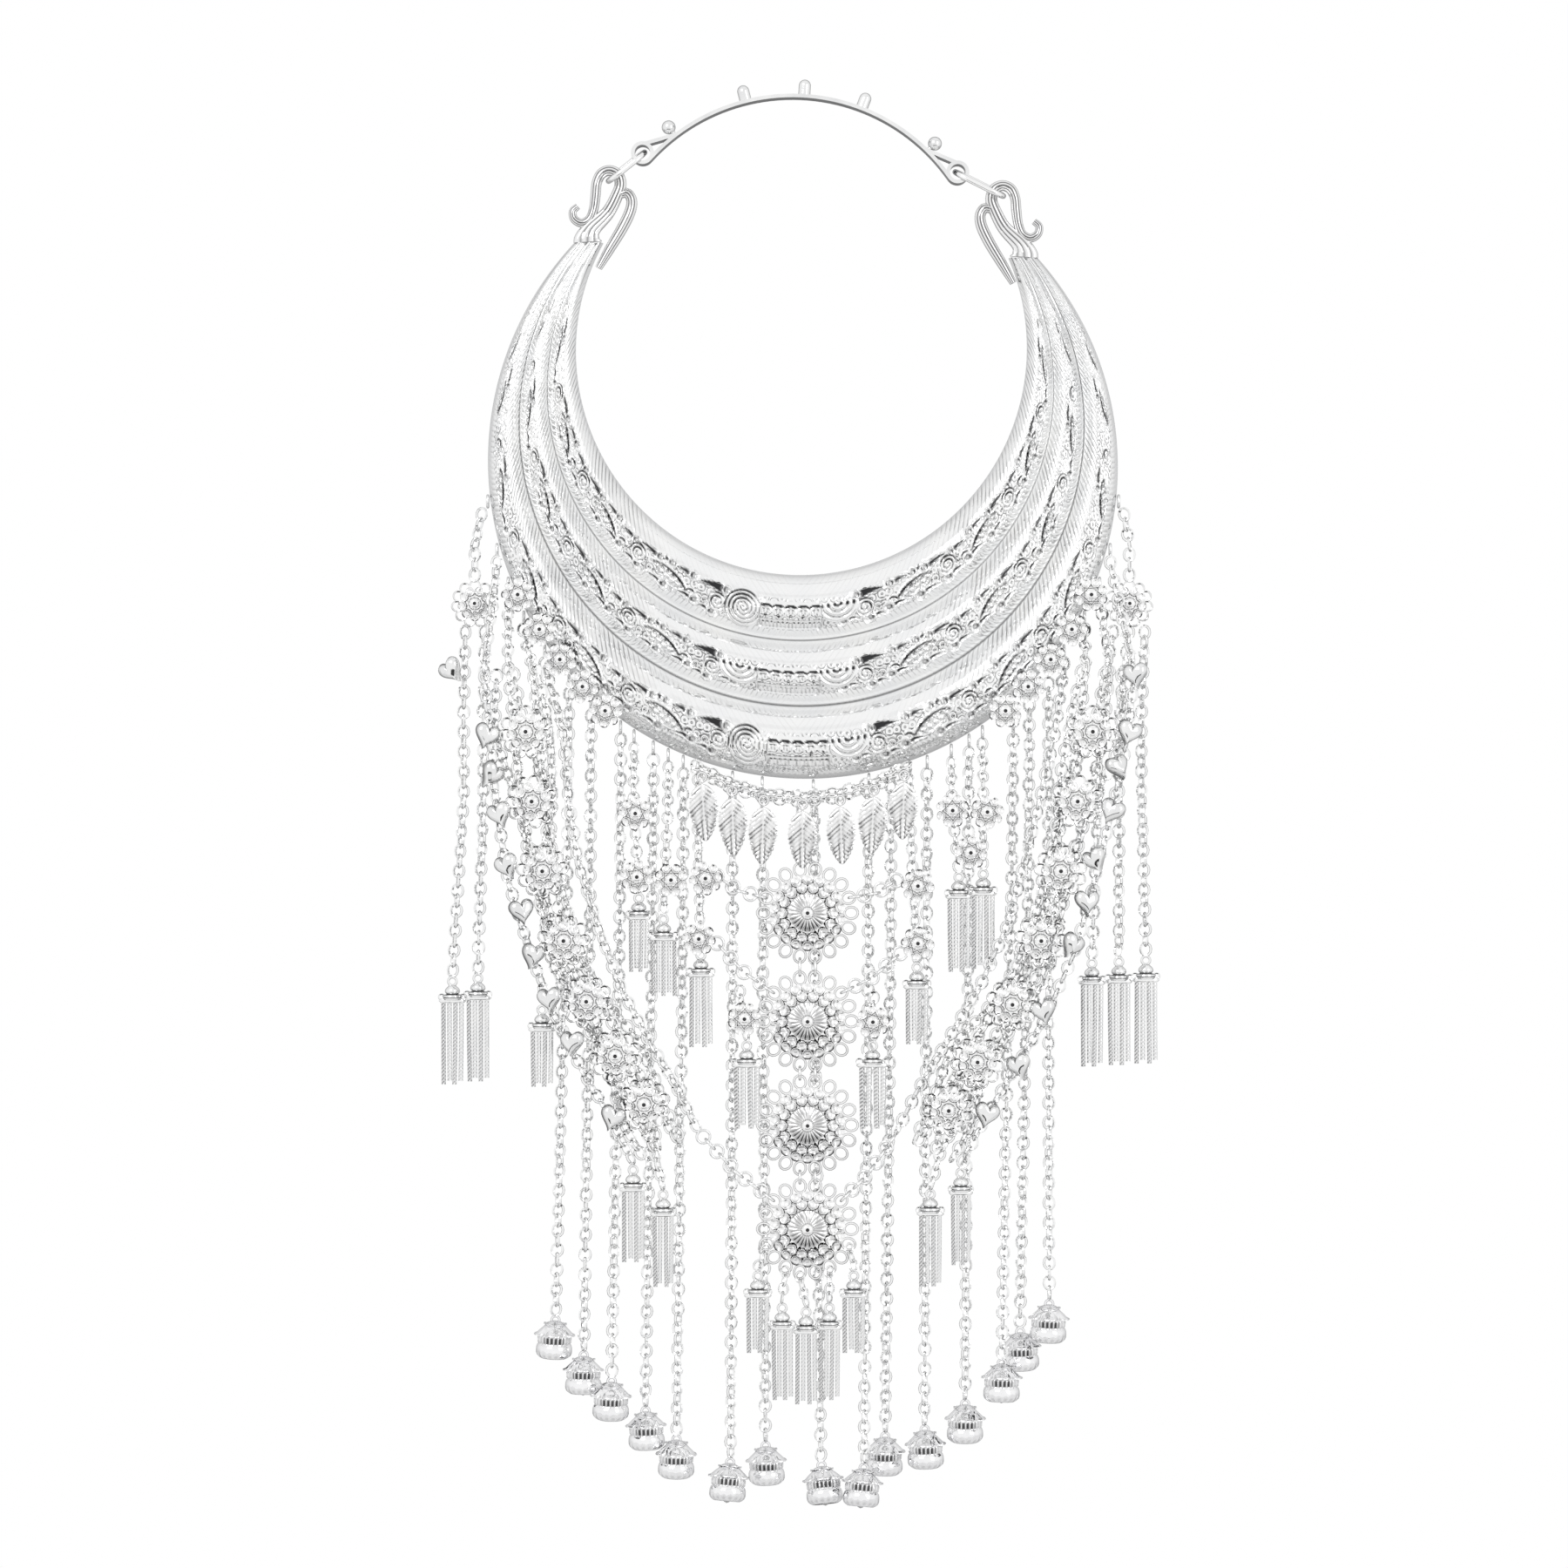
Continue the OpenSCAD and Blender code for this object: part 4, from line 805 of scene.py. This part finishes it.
for side, name in flanks:
    foot = rosetteLoop(0, side * 10) + [0, 0, 2.6]
    top = [foot[0], leafChain["y"], leafChainZ(foot[0]) - leafChain["under"]]
    runs.append(chainRun([foot, top], 115 + side, rowLinks))
for k, (row, angle) in enumerate(zip(tassels["bottom"], dropLook["loops"])):
    loop = rosetteLoop(3, angle)
    route = [[loop[0], loopY, loop[2]], [loop[0], loopY, loop[2] - 1], [row[0], row[1], row[2] + 1], row[:3]]
    runs.append(chainRun(route, 120 + k, smallLinks))
makePiece("drop_chains", "links", joined(runs), polished)
print("short chains made")


# A cupped layer: the edge at radius (1 - scallop + scallop |cos|^0.7), the face rising to the edge
# and cut between petals, the back flat; rows run from the middle to the edge and back. Painted shade
# darkens the cuts
def petalLayer(radius, petals, thick, cup, scallop, rows=4):
    angle = fullTurn(petals * 6)
    share = shares(rows)
    wave = np.cos(angle * petals / 2)
    lobe = np.abs(wave) ** 0.7
    cut = line(wave, 0.32)
    reach = share * radius * (1 - scallop + scallop * lobe)
    face = thick + cup * share ** 2 * (0.35 + 0.65 * lobe) - 0.5 * thick * cut * ramp(share - 0.35, 0.3)
    front = np.stack([reach * np.cos(angle), -face, reach * np.sin(angle)], axis=-1)
    shade = 0.4 * cut * ramp(share - 0.3, 0.3)
    return closedSurface(np.concatenate([front, front[::-1] * [1, 0, 1]]), np.concatenate([shade, 0 * shade]))


# For count places round y: the way out, from above and clockwise
def outwards(count, turn):
    angle = (np.arange(count) + turn) * 2 * pi / count
    return np.stack([np.sin(angle), 0 * angle, np.cos(angle)], axis=1)


# Wire loops round a centre, each a stretched ring whose long way points outwards; painted shade on their
# outer side, deeper on the lower half
def loopRing(ring, count, size, wire, y, turn=0.5, tall=1.15, around=14, sides=6):
    out = outwards(count, turn)
    face = np.tile([0.0, 1.0, 0.0], (count, 1))
    axes = np.stack([np.cross(face, out), face, out], axis=1)
    points, faces, _ = copies(wireRing(size, wire, around, sides, tall), out * ring + [0, y, 0], axes)
    reach = np.hypot(points[:, 0], points[:, 2])
    low = 0.3 + 0.65 * ramp(-points[:, 2] / ring - 0.1, 0.5)
    return points, faces, low * ramp(reach - ring - size * 0.55, 0.5) * (points[:, 1] > y - 0.7 * wire)


# Turned shapes made to face the front: their height points towards -y
def facing(shape):
    return outward((shape[0][:, [0, 2, 1]] * [1, -1, 1], shape[1], shape[2]))


# A turned shape that faces the front, with a new tone from its radius and from z
def facingShape(profile, sides, tone):
    points, faces, _ = facing(turnedShape(profile, sides))
    return points, faces, tone(np.hypot(points[:, 0], points[:, 2]), points[:, 2])


# Cups: painted shade in a crescent along each cup's outer rim
cupShape = facingShape(((0, 0), (1.0, 0), (1.07, 0.3), (1.0, 0.62), (0.88, 0.6), (0.7, 0.3), (0, 0.16)), 14,
                       lambda radius, z: (radius > 0.8) * ramp(z - 0.35, 0.3))
# The dome: the pit at its top is painted black as its shade
domeShape = facingShape(((0, 0), (1, 0), (1.02, 0.12), (0.93, 0.42), (0.72, 0.68), (0.45, 0.82), (0.27, 0.82),
                         (0.22, 0.6), (0, 0.55)), 20, lambda radius, z: (radius < 0.24) * 0.95)


# Cups in a ring, each leaning outwards: its face is -y cos(lean) + out sin(lean). Their painted shade is
# strongest on the lower half
def cupRing(ring, count, size, y, lean, turn=0.0):
    out, lean = outwards(count, turn), radians(lean)
    back = np.array([0, cos(lean), 0]) - out * sin(lean)
    rise = out * cos(lean) + np.array([0, sin(lean), 0])
    axes = np.stack([np.cross(back, rise), back, rise], axis=1) * size
    points, faces, tone = copies(cupShape, out * ring + [0, y, 0], axes)
    return points, faces, tone * (0.2 + 0.77 * ramp(-points[:, 2] / ring - 0.2, 0.4))


# Spokes: a shallow cone between two radii whose face is ridged by a cosine of the angle, with painted shade
# between the ridges, deeper on the lower half
def spokeDisc(inner, outer, low, high, count):
    angle = fullTurn(count * 5)
    share = shares(6)
    ridge = ripple(angle * count) * np.sin(pi * np.clip(share, 0.05, 0.95)) ** 0.5
    radius = inner + (outer - inner) * share + 0 * angle
    height = high + (low - high) * share ** 1.5 + 0.32 * ridge
    dark = 0.6 + 0.35 * ramp(-np.sin(angle) - 0.1, 0.6)
    shade = dark * (1 - ridge) ** 2 * ramp(share - 0.1, 0.2) * ramp(0.95 - share, 0.1)
    none = 0 * radius[:1]
    radius = np.concatenate([none, radius, radius[-1:], none])
    height = np.concatenate([height[:1], height, none, none])
    grid = np.stack([radius * np.cos(angle), -height, radius * np.sin(angle)], axis=-1)
    return closedSurface(grid, np.concatenate([shade[:1], shade, none, none]))


# The painted shade keeps its full strength on the lower half and only low of it on the upper half,
# which is pale and matt, a tone below 0:
# tone = tone * (low + (1 - low) * below) + base - matt * (1 - below), below a smooth step
def darkBelow(shape, low=0.3, base=0.09, matt=0.75):
    below = ramp(0.1 - shape[0][:, 2] / rosetteLook["size"], 0.6)
    tone = shape[2] * (low + (1 - low) * below) + base - matt * (1 - below)
    return shape[0], shape[1], np.clip(tone, -matt, 0.97)


cups = [petalLayer(12.4, 18, 0.6, 0.25, 0.06), loopRing(14.5, 18, 1.95, 0.4, -0.6)]
cups += [cupRing(*row) for row in rosetteLook["cups"]]
spokes = moved(spokeDisc(*rosetteLook["spokes"]), (0, rosetteLook["spokesY"], 0))
rosette = joined([darkBelow(joined(cups)), darkBelow(spokes, 0.6, 0.2, 0),
                  moved(sized(domeShape, rosetteLook["dome"]), (0, rosetteLook["domeY"], 0))])
for i, z in enumerate(rosetteLook["z"]):
    place = (rosetteLook["x"], rosetteLook["y"], z)
    makePiece(f"rosette_{i + 1}", "filigree", moved(rosette, place), bright, 60)
print("rosettes made")

# Flowers: filigree ones on the garlands and side plates, small domed ones on the rim and the field
garlandFlower = joined([
    petalLayer(5.6, 10, 0.5, 0.2, 0.08), loopRing(6.6, 11, 1.8, 0.38, -0.5, 0, 1.1, 12, 5),
    cupRing(4.5, 9, 1.75, -0.4, 22, 0.5), moved(sized(domeShape, 2.4), (0, -0.9, 0))
])
smallFlower = joined([
    petalLayer(4.6, 8, 0.5, 0.2, 0.1), cupRing(3.85, 8, 1.55, -0.4, 20),
    moved(sized(domeShape, 2.3), (0, -0.7, 0))
])
# Flower columns: x, z, and y on the rim
flowerRows = {
    "left": {"rim": ((-94, -165.5, -6.8), (-86.8, -177, -7.3), (-80, -187, -7.4), (-72.5, -196, -8.1),
                     (-65, -204, -8.1)),
             "tier": ((-55, -238), (-54.5, -259), (-43.2, -260), (-31.8, -259.5), (-34, -279.5),
                      (-18.9, -306))},
    "right": {"rim": ((96, -165.5, -6.8), (89.5, -177, -7.1), (82.5, -187, -7.2), (75, -196, -8.1),
                      (67.5, -204, -8.1)),
              "tier": ((50, -237), (61.5, -237.5), (56, -251), (38.5, -262), (38.5, -281), (23.6, -307))}
}
flowerLook = {"garlandY": -13.7, "tierY": -8.5, "plateY": 4.5, "plateZ": -168, "plate": 0.9,
              "turns": (7, 11, 13)}
for name, rows in flowerRows.items():
    first, second, third = flowerLook["turns"]
    parts = [moved(garlandFlower, (x, flowerLook["garlandY"], z), first * k)
             for k, (x, z) in enumerate(garlands[name][1:-1])]
    parts += [moved(smallFlower, (x, y, z), second * x) for x, z, y in rows["rim"]]
    parts += [moved(smallFlower, (x, flowerLook["tierY"], z), third * x) for x, z in rows["tier"]]
    plate = (sideLook["plate"][name], flowerLook["plateY"], flowerLook["plateZ"])
    parts.append(moved(sized(garlandFlower, flowerLook["plate"]), plate))
    makePiece(f"flowers_{name}", "filigree", joined(parts), bright, 60)
print("flowers made")

# Heart columns: x, z, turn, y of the back. Each is turned about its upright axis as well
heartRows = {
    "left": ((-116.5, -190, 40, 1.1), (-104, -212, -20, -13.7), (-102.5, -224.5, -40, -13.7),
             (-99.5, -238, 20, -14.9), (-97, -255, 25, -14.9), (-92.5, -270, 10, -13.7),
             (-89, -284.5, -15, -14.9), (-83, -299, 10, -14.9), (-75.5, -313.5, 0, -13.7),
             (-62.5, -338, -20, -14.9)),
    "right": ((110.5, -192, 10, -13.7), (108, -211, -20, -14.9), (104, -222.5, 25, -13.7),
              (102.5, -237, -25, -14.9), (97, -253, 30, -13.7), (94, -267, 0, -14.9),
              (89, -281, -30, -14.9), (80, -303, 15, -14.9), (72, -321, 20, -13.7), (61, -337, -15, -14.9))
}
heartLook = {"half": 4.3, "tall": 0.298, "lift": 0.1, "puff": 2.6, "rim": 0.4, "sides": 40, "rows": 9,
             "upright": (-28, 16, 34, -20)}


# Outline 16 sin^3 and 13 cos - 5 cos 2 - 2 cos 3 - cos 4, puffed by the root of 1 - share^3, with painted
# shade along the rim on its left side and over the back
def heartShape():
    angle = fullTurn(heartLook["sides"])
    share = shares(heartLook["rows"]) ** 0.8
    x = heartLook["half"] * np.sin(angle) ** 3
    z = 13 * np.cos(angle) - 5 * np.cos(2 * angle) - 2 * np.cos(3 * angle) - np.cos(4 * angle)
    z = z * heartLook["tall"] + heartLook["lift"]
    puff = -heartLook["puff"] * np.sqrt(np.clip(1 - share ** 3, 0, 1)) - heartLook["rim"]
    front = np.stack([share * x, puff + 0 * angle, share * z], axis=-1)
    shade = 0.7 * ramp(share - 0.86, 0.14) * ramp(-np.sin(angle) + 0.3, 0.5)
    grid = np.concatenate([front, front[::-1] * [1, 0, 1]])
    return closedSurface(grid, np.concatenate([shade, 0.4 + 0 * shade]))


heart = heartShape()
for name, rows in heartRows.items():
    parts = [moved(twisted(heart, heartLook["upright"][k % 4]), (x, y, z), -turn)
             for k, (x, z, turn, y) in enumerate(rows)]
    makePiece(f"hearts_{name}", "puffed", joined(parts), shaded, 60)
print("hearts made")

# Leaves: x and turn of each; vein and bead are pitches, ring, eye and top drops below the chain
leafRows = ((-33, -4), (-23, -2), (-12.5, 2), (0.3, 0), (12.8, -2), (24, 3), (34, 2))
leafLook = {"long": 19, "half": 4.75, "teeth": 12, "vein": 1.55, "bead": 1.4, "back": 0.4, "rows": 64,
            "cols": 19, "y": -9.3, "ring": 1.88, "eye": 1.5, "top": 2.3}


# Half width sin(pi share^0.78)^0.62 with saw teeth, a mid rib, fine veins as the cosine of a slant,
# and beads near the edges; painted shade fills the hollows between the veins, a line beside the rib
# and the gaps between the beads
def leafShape():
    share = shares(leafLook["rows"])
    u = np.linspace(-1, 1, leafLook["cols"])[None, :]
    long = share * leafLook["long"]
    tooth = 1 + 0.14 * ((share * leafLook["teeth"]) % 1 - 0.5) * ramp(share - 0.08, 0.1)
    half = leafLook["half"] * np.sin(pi * share ** 0.78) ** 0.62 * tooth + 0.02
    across = np.abs(u) * half
    rib = line(across, 0.42)
    vein = ripple((long - across * 0.85) * 2 * pi / leafLook["vein"])
    fade = ramp(1 - np.abs(u), 0.12)
    bead = line(np.abs(u) - 0.8, 0.09) * ripple(long * 2 * pi / leafLook["bead"]) * ramp(share - 0.3, 0.15)
    face = 0.35 + 0.34 * rib + 0.2 * vein * (1 - rib) * fade + 0.45 * (1 - u ** 2) + 0.25 * bead
    front = np.stack([u * half, -face, -long + 0 * u], axis=-1)
    back = front[:, ::-1].copy()
    back[..., 1] = leafLook["back"]
    patches = 0.3 + 0.7 * ramp(np.cos(share * 21 + u * 5) + 0.2, 0.8)
    shade = 0.95 * (1 - vein) ** 3 * (1 - rib) * fade * patches
    shade = shade + 0.8 * line(across - 0.75, 0.22) * ramp(share - 0.15, 0.2)
    shade = shade + 0.8 * line(np.abs(u) - 0.8, 0.12) * (1 - bead) ** 2 * ramp(share - 0.4, 0.1) * fade
    shade = np.clip(shade, 0, 0.9) * ramp(share, 0.12)
    return cappedSurface(np.concatenate([front, back], axis=1), np.concatenate([shade, 0 * shade], axis=1))


leaf = leafShape()
points, *rest = wireRing(1.05, 0.35, 14, 6)
leafEye = (points[:, [1, 0, 2]] * [-1, 1, 1], *rest)
parts = []
for x, turn in leafRows:
    ringZ = leafChainZ(x) - leafLook["ring"]
    parts.append(moved(wireRing(1.5, 0.4, 16, 6), (x, leafLook["y"], ringZ)))
    parts.append(moved(leafEye, (x, leafLook["y"], ringZ - leafLook["eye"])))
    parts.append(moved(leaf, (x, leafLook["y"], ringZ - leafLook["top"]), turn))
makePiece("leaf_row", "veined", joined(parts), bright, 60)
print("leaves made")

# Tassels: turned profiles of the head and of the bar, as radius and height; the strands' weave, with dark the
# depth of each strand's painted shade
tasselLook = {
    "head": ((0, -3.5), (0.9, -3.6), (1.5, -4.1), (2.3, -4.9), (2.55, -5.7), (2.3, -6.3), (1.9, -6.6),
             (2.6, -6.8), (3.25, -7.1), (3.35, -7.5), (3.0, -7.8), (3.2, -8.1), (2.9, -8.6), (0, -8.7)),
    "bar": ((0, -9.5), (1, -9.5), (1.15, -8.9), (1, -8.2), (0, -8.2)), "barDeep": 1.2, "loopZ": -7.6,
    "strandZ": -9, "fill": 0.8, "shorter": 1.2, "sway": 0.35, "dark": (0.95, 0.3, 0.7, 0.3), "weave": 1.25,
    "rows": 3.2, "around": (0, 90, 180, 225, 270, 315), "lift": 0.3, "side": (4, 8, 28)
}


# Strand of flat woven links: an oval section whose front is pressed into a herringbone,
# a cosine of the height plus the distance from the middle; the back takes fewer points. Painted shade
# fills the herringbone's hollows on the front and back faces
def strandShape(width, length, sway, dark):
    share = shares(int(length * tasselLook["rows"]))
    angle = np.radians([tasselLook["around"]])
    across = np.cos(angle) * width / 2
    weave = ripple((share * length + np.abs(across) * 1.2) * 2 * pi / tasselLook["weave"])
    x = across * (0.9 + 0.1 * weave) + sway * share ** 2
    grid = np.stack([x, np.sin(angle) * (0.45 + 0.22 * weave), -share * length + 0 * angle], axis=-1)
    return cappedSurface(grid, dark * (1 - weave) ** 1.5 * (np.abs(np.sin(angle)) > 0.3))


# A ring over the turned head, with painted shade in the two grooves of its neck
tasselHead = joined([
    moved(wireRing(1.4, 0.45, 14, 6), (0, 0, -2.35)),
    turnedShape(tasselLook["head"], 24, lambda z, angle: 0.8 * line(z + 6.6, 0.2) + 0.5 * line(z + 7.8, 0.15))
])
tasselBar = turnedShape(tasselLook["bar"], 16)
sideLoop = wireRing(0.95, 0.3, 12, 5)


# A head over a bar with loops at both ends and strands that sway a little, every other one shorter
def tasselShape(strands, width, length, seed):
    pitch = width / strands
    random = np.random.default_rng(seed)
    parts = [tasselHead, (tasselBar[0] * [width / 2, tasselLook["barDeep"], 1], *tasselBar[1:])]
    parts += [moved(sideLoop, (side * (width / 2 - 0.4), 0, tasselLook["loopZ"])) for side in (-1, 1)]
    for k in range(strands):
        long = length - 0.2 - (k % 2) * tasselLook["shorter"]
        sway = random.uniform(-tasselLook["sway"], tasselLook["sway"])
        strand = strandShape(pitch * tasselLook["fill"], long, sway, tasselLook["dark"][k % 4])
        parts.append(moved(strand, (-width / 2 + (k + 0.5) * pitch, 0, tasselLook["strandZ"])))
    return joined(parts)


tasselGroups = {f"tassels_{name}": rows for name, rows in tassels.items()}
for name, rows in sideRows.items():
    tasselGroups[f"side_tassels_{name}"] = [(x, sideLook["y"], z, *tasselLook["side"]) for _, _, x, z in rows]
for node, rows in tasselGroups.items():
    parts = [moved(tasselShape(*row[3:], 200 + k), (row[0], row[1], row[2] + tasselLook["lift"]))
             for k, row in enumerate(rows)]
    makePiece(node, "woven", joined(parts), pale, 50)
print("tassels made")

# Hooks: a reeded rod bent into a loop, columns x outwards, z up, half width, and a short inner rod
hookRows = {
    "rod": ((0.2, 0.25, 4.7), (0.2, 1.3, 4.6), (-0.2, 2.9, 3.8), (-1.6, 5.2, 2.9), (-6.4, 10, 2.3),
            (-9.4, 15.5, 2.1), (-10.7, 19.5, 2), (-9.7, 22.8, 1.9), (-7, 24.1, 1.8), (-4.3, 23, 1.8),
            (-2.8, 20, 1.7), (-2.4, 16, 1.7), (-1.8, 11.5, 1.6), (-0.4, 8, 1.5), (2.2, 6.6, 1.5),
            (4.7, 7.9, 1.4), (5.2, 10.5, 1.3), (3.5, 12.2, 1.1)),
    "inner": ((-3.4, -8.4, 1.2), (-7, -2.2, 1.7), (-11.3, 5, 1.9), (-13.9, 10.5, 1.9), (-14.4, 14.2, 1.8),
              (-12.9, 16.6, 1.7), (-10.6, 16.2, 1.5))
}
hookLook = {"rod": 120, "inner": 48, "around": 36, "out": 4.95, "deep": 1.65}


# Section of four reeds: an oval whose depth swells with |sin| of the distance across; its tone is painted
# shade, darkest in the grooves between the reeds
def reedSection(count):
    angle = fullTurn(count)[0]
    across = np.cos(angle)
    reed = np.abs(np.sin(2 * pi * across)) ** 0.6
    return np.stack([across, np.sin(angle) * (0.7 + 0.3 * reed)], axis=1), 0.03 + 0.6 * (1 - reed) ** 2


section, reedTone = reedSection(hookLook["around"])
for side, name in flanks:
    end = np.array([side * (collar["half"][side] + hookLook["out"]), 0, collar["drop"][side]])
    parts = []
    for key, rows in hookRows.items():
        rows = np.array(rows)
        route = np.stack([rows[:, 0] * side, 0 * rows[:, 0], rows[:, 1], rows[:, 2]], axis=1)
        path = smoothPath(route, hookLook[key])
        half = path[:, 3]
        parts.append(swept(path[:, :3] + end, section, half, np.minimum(hookLook["deep"], half), reedTone))
    makePiece(f"end_hook_{name}", "reeded", joined(parts), bright, 60)
print("hooks made")

# What the CAD still shows, in its metals
carried = {"nape_arc": shaded, "nape_link_left": bright, "nape_link_right": bright, "edge_rings": pale,
           "centre_links": polished}
for node, (_, material) in carried.items():
    cadNode = bpy.data.objects[node]
    cadNode.data.materials.clear()
    cadNode.data.materials.append(material)
print("carried nodes painted")

# Floor, pale and plain
floorLook = {"corners": ((-0.6, -0.17, -0.52), (0.6, -0.17, -0.52), (0.6, 0.13, -0.52), (-0.6, 0.13, -0.52)),
             "colour": (0.8, 0.8, 0.8, 1), "rough": 0.8}
floorMesh = bpy.data.meshes.new("floor")
floorMesh.from_pydata(floorLook["corners"], [], [(0, 1, 2, 3)])
floor = bpy.data.objects.new("floor", floorMesh)
scene.collection.objects.link(floor)
floorPaint = bpy.data.materials.new("floor")
floorPaint.use_nodes = True
floorShader = floorPaint.node_tree.nodes["Principled BSDF"]
floorShader.inputs["Base Color"].default_value = floorLook["colour"]
floorShader.inputs["Roughness"].default_value = floorLook["rough"]
floorMesh.materials.append(floorPaint)

# Studio: white, with darker bands below, above and behind that the silver mirrors. Each band is
# from, to, level at from, level at to, along a direction
studio = {
    "behind": ("Y", -0.2, 0.9, 0.95, 0.8), "rearLow": ("Z", -0.6, 0.1, 0.62, 1.0),
    "front": ("Y", 0.0, 0.3, 1.0, 0.0),
    "slotLow": ("Z", -0.68, -0.62, 0.85, 0.0), "slotHigh": ("Z", -0.54, -0.48, 0.0, 1.0),
    "beside": ("side", 0.38, 0.55, 0.0, 1.0), "rear": ("Y", -0.3, -0.1, 0.0, 1.0),
    "lidLow": ("Z", 0.55, 0.6, 1.0, 0.0), "lidHigh": ("Z", 0.7, 0.76, 0.93, 1.0)
}
lowestLevel = 0.02
world = bpy.data.worlds.new("studio")
world.use_nodes = True
scene.world = world
sky = world.node_tree
ways = addNode(sky, "SeparateXYZ", {0: sky.nodes.new("ShaderNodeTexCoord").outputs["Generated"]}).outputs
ways = {"Y": ways["Y"], "Z": ways["Z"], "side": maths(sky, "ABSOLUTE", ways["X"])}
levels = {name: mapRange(sky, ways[way], ranges, "SMOOTHSTEP") for name, (way, *ranges) in studio.items()}


# The brightest of several levels
def brightest(first, *others):
    for other in others:
        first = maths(sky, "MAXIMUM", first, other)
    return first


behind, rearLow, front, slotLow, slotHigh, beside, rear, lidLow, lidHigh = levels.values()
level = maths(sky, "MULTIPLY", behind, brightest(rearLow, front))
level = maths(sky, "MULTIPLY", level, brightest(slotLow, slotHigh, beside, rear, lowestLevel))
level = maths(sky, "MULTIPLY", level, brightest(lidLow, lidHigh))
seen = sky.nodes.new("ShaderNodeLightPath").outputs["Is Camera Ray"]
background = sky.nodes["Background"]
sky.links.new(brightest(level, seen), background.inputs["Strength"])
background.inputs["Color"].default_value = (1, 1, 1, 1)

# Soft lights: place, size, power, and the point each one faces
softLights = {"key": ((-0.9, -1.5, 0.8), (0.9, 0.9), 7, (0, 0, -0.2)),
              "fill": ((1.2, -1.2, 0.2), (0.7, 1.2), 3, (0, 0, -0.25))}
for name, (place, size, power, aim) in softLights.items():
    lamp = bpy.data.lights.new(name, "AREA")
    lamp.shape = "RECTANGLE"
    lamp.size, lamp.size_y = size
    lamp.energy = power
    holder = bpy.data.objects.new(name, lamp)
    scene.collection.objects.link(holder)
    holder.location = place
    holder.rotation_mode = "QUATERNION"
    holder.rotation_quaternion = (Vector(place) - Vector(aim)).to_track_quat("Z", "Y")

# Camera, straight in front as in the photo
cameraLook = {"place": (-0.0058, -1.6, -0.2282), "lens": 110.3, "sensor": 36, "near": 0.05}
camera = bpy.data.objects.new("camera", bpy.data.cameras.new("camera"))
scene.collection.objects.link(camera)
camera.location = cameraLook["place"]
camera.rotation_euler = (pi / 2, 0, 0)
camera.data.lens = cameraLook["lens"]
camera.data.sensor_width = cameraLook["sensor"]
camera.data.clip_start = cameraLook["near"]
scene.camera = camera
scene.view_settings.view_transform = "Standard"
print("stage made")
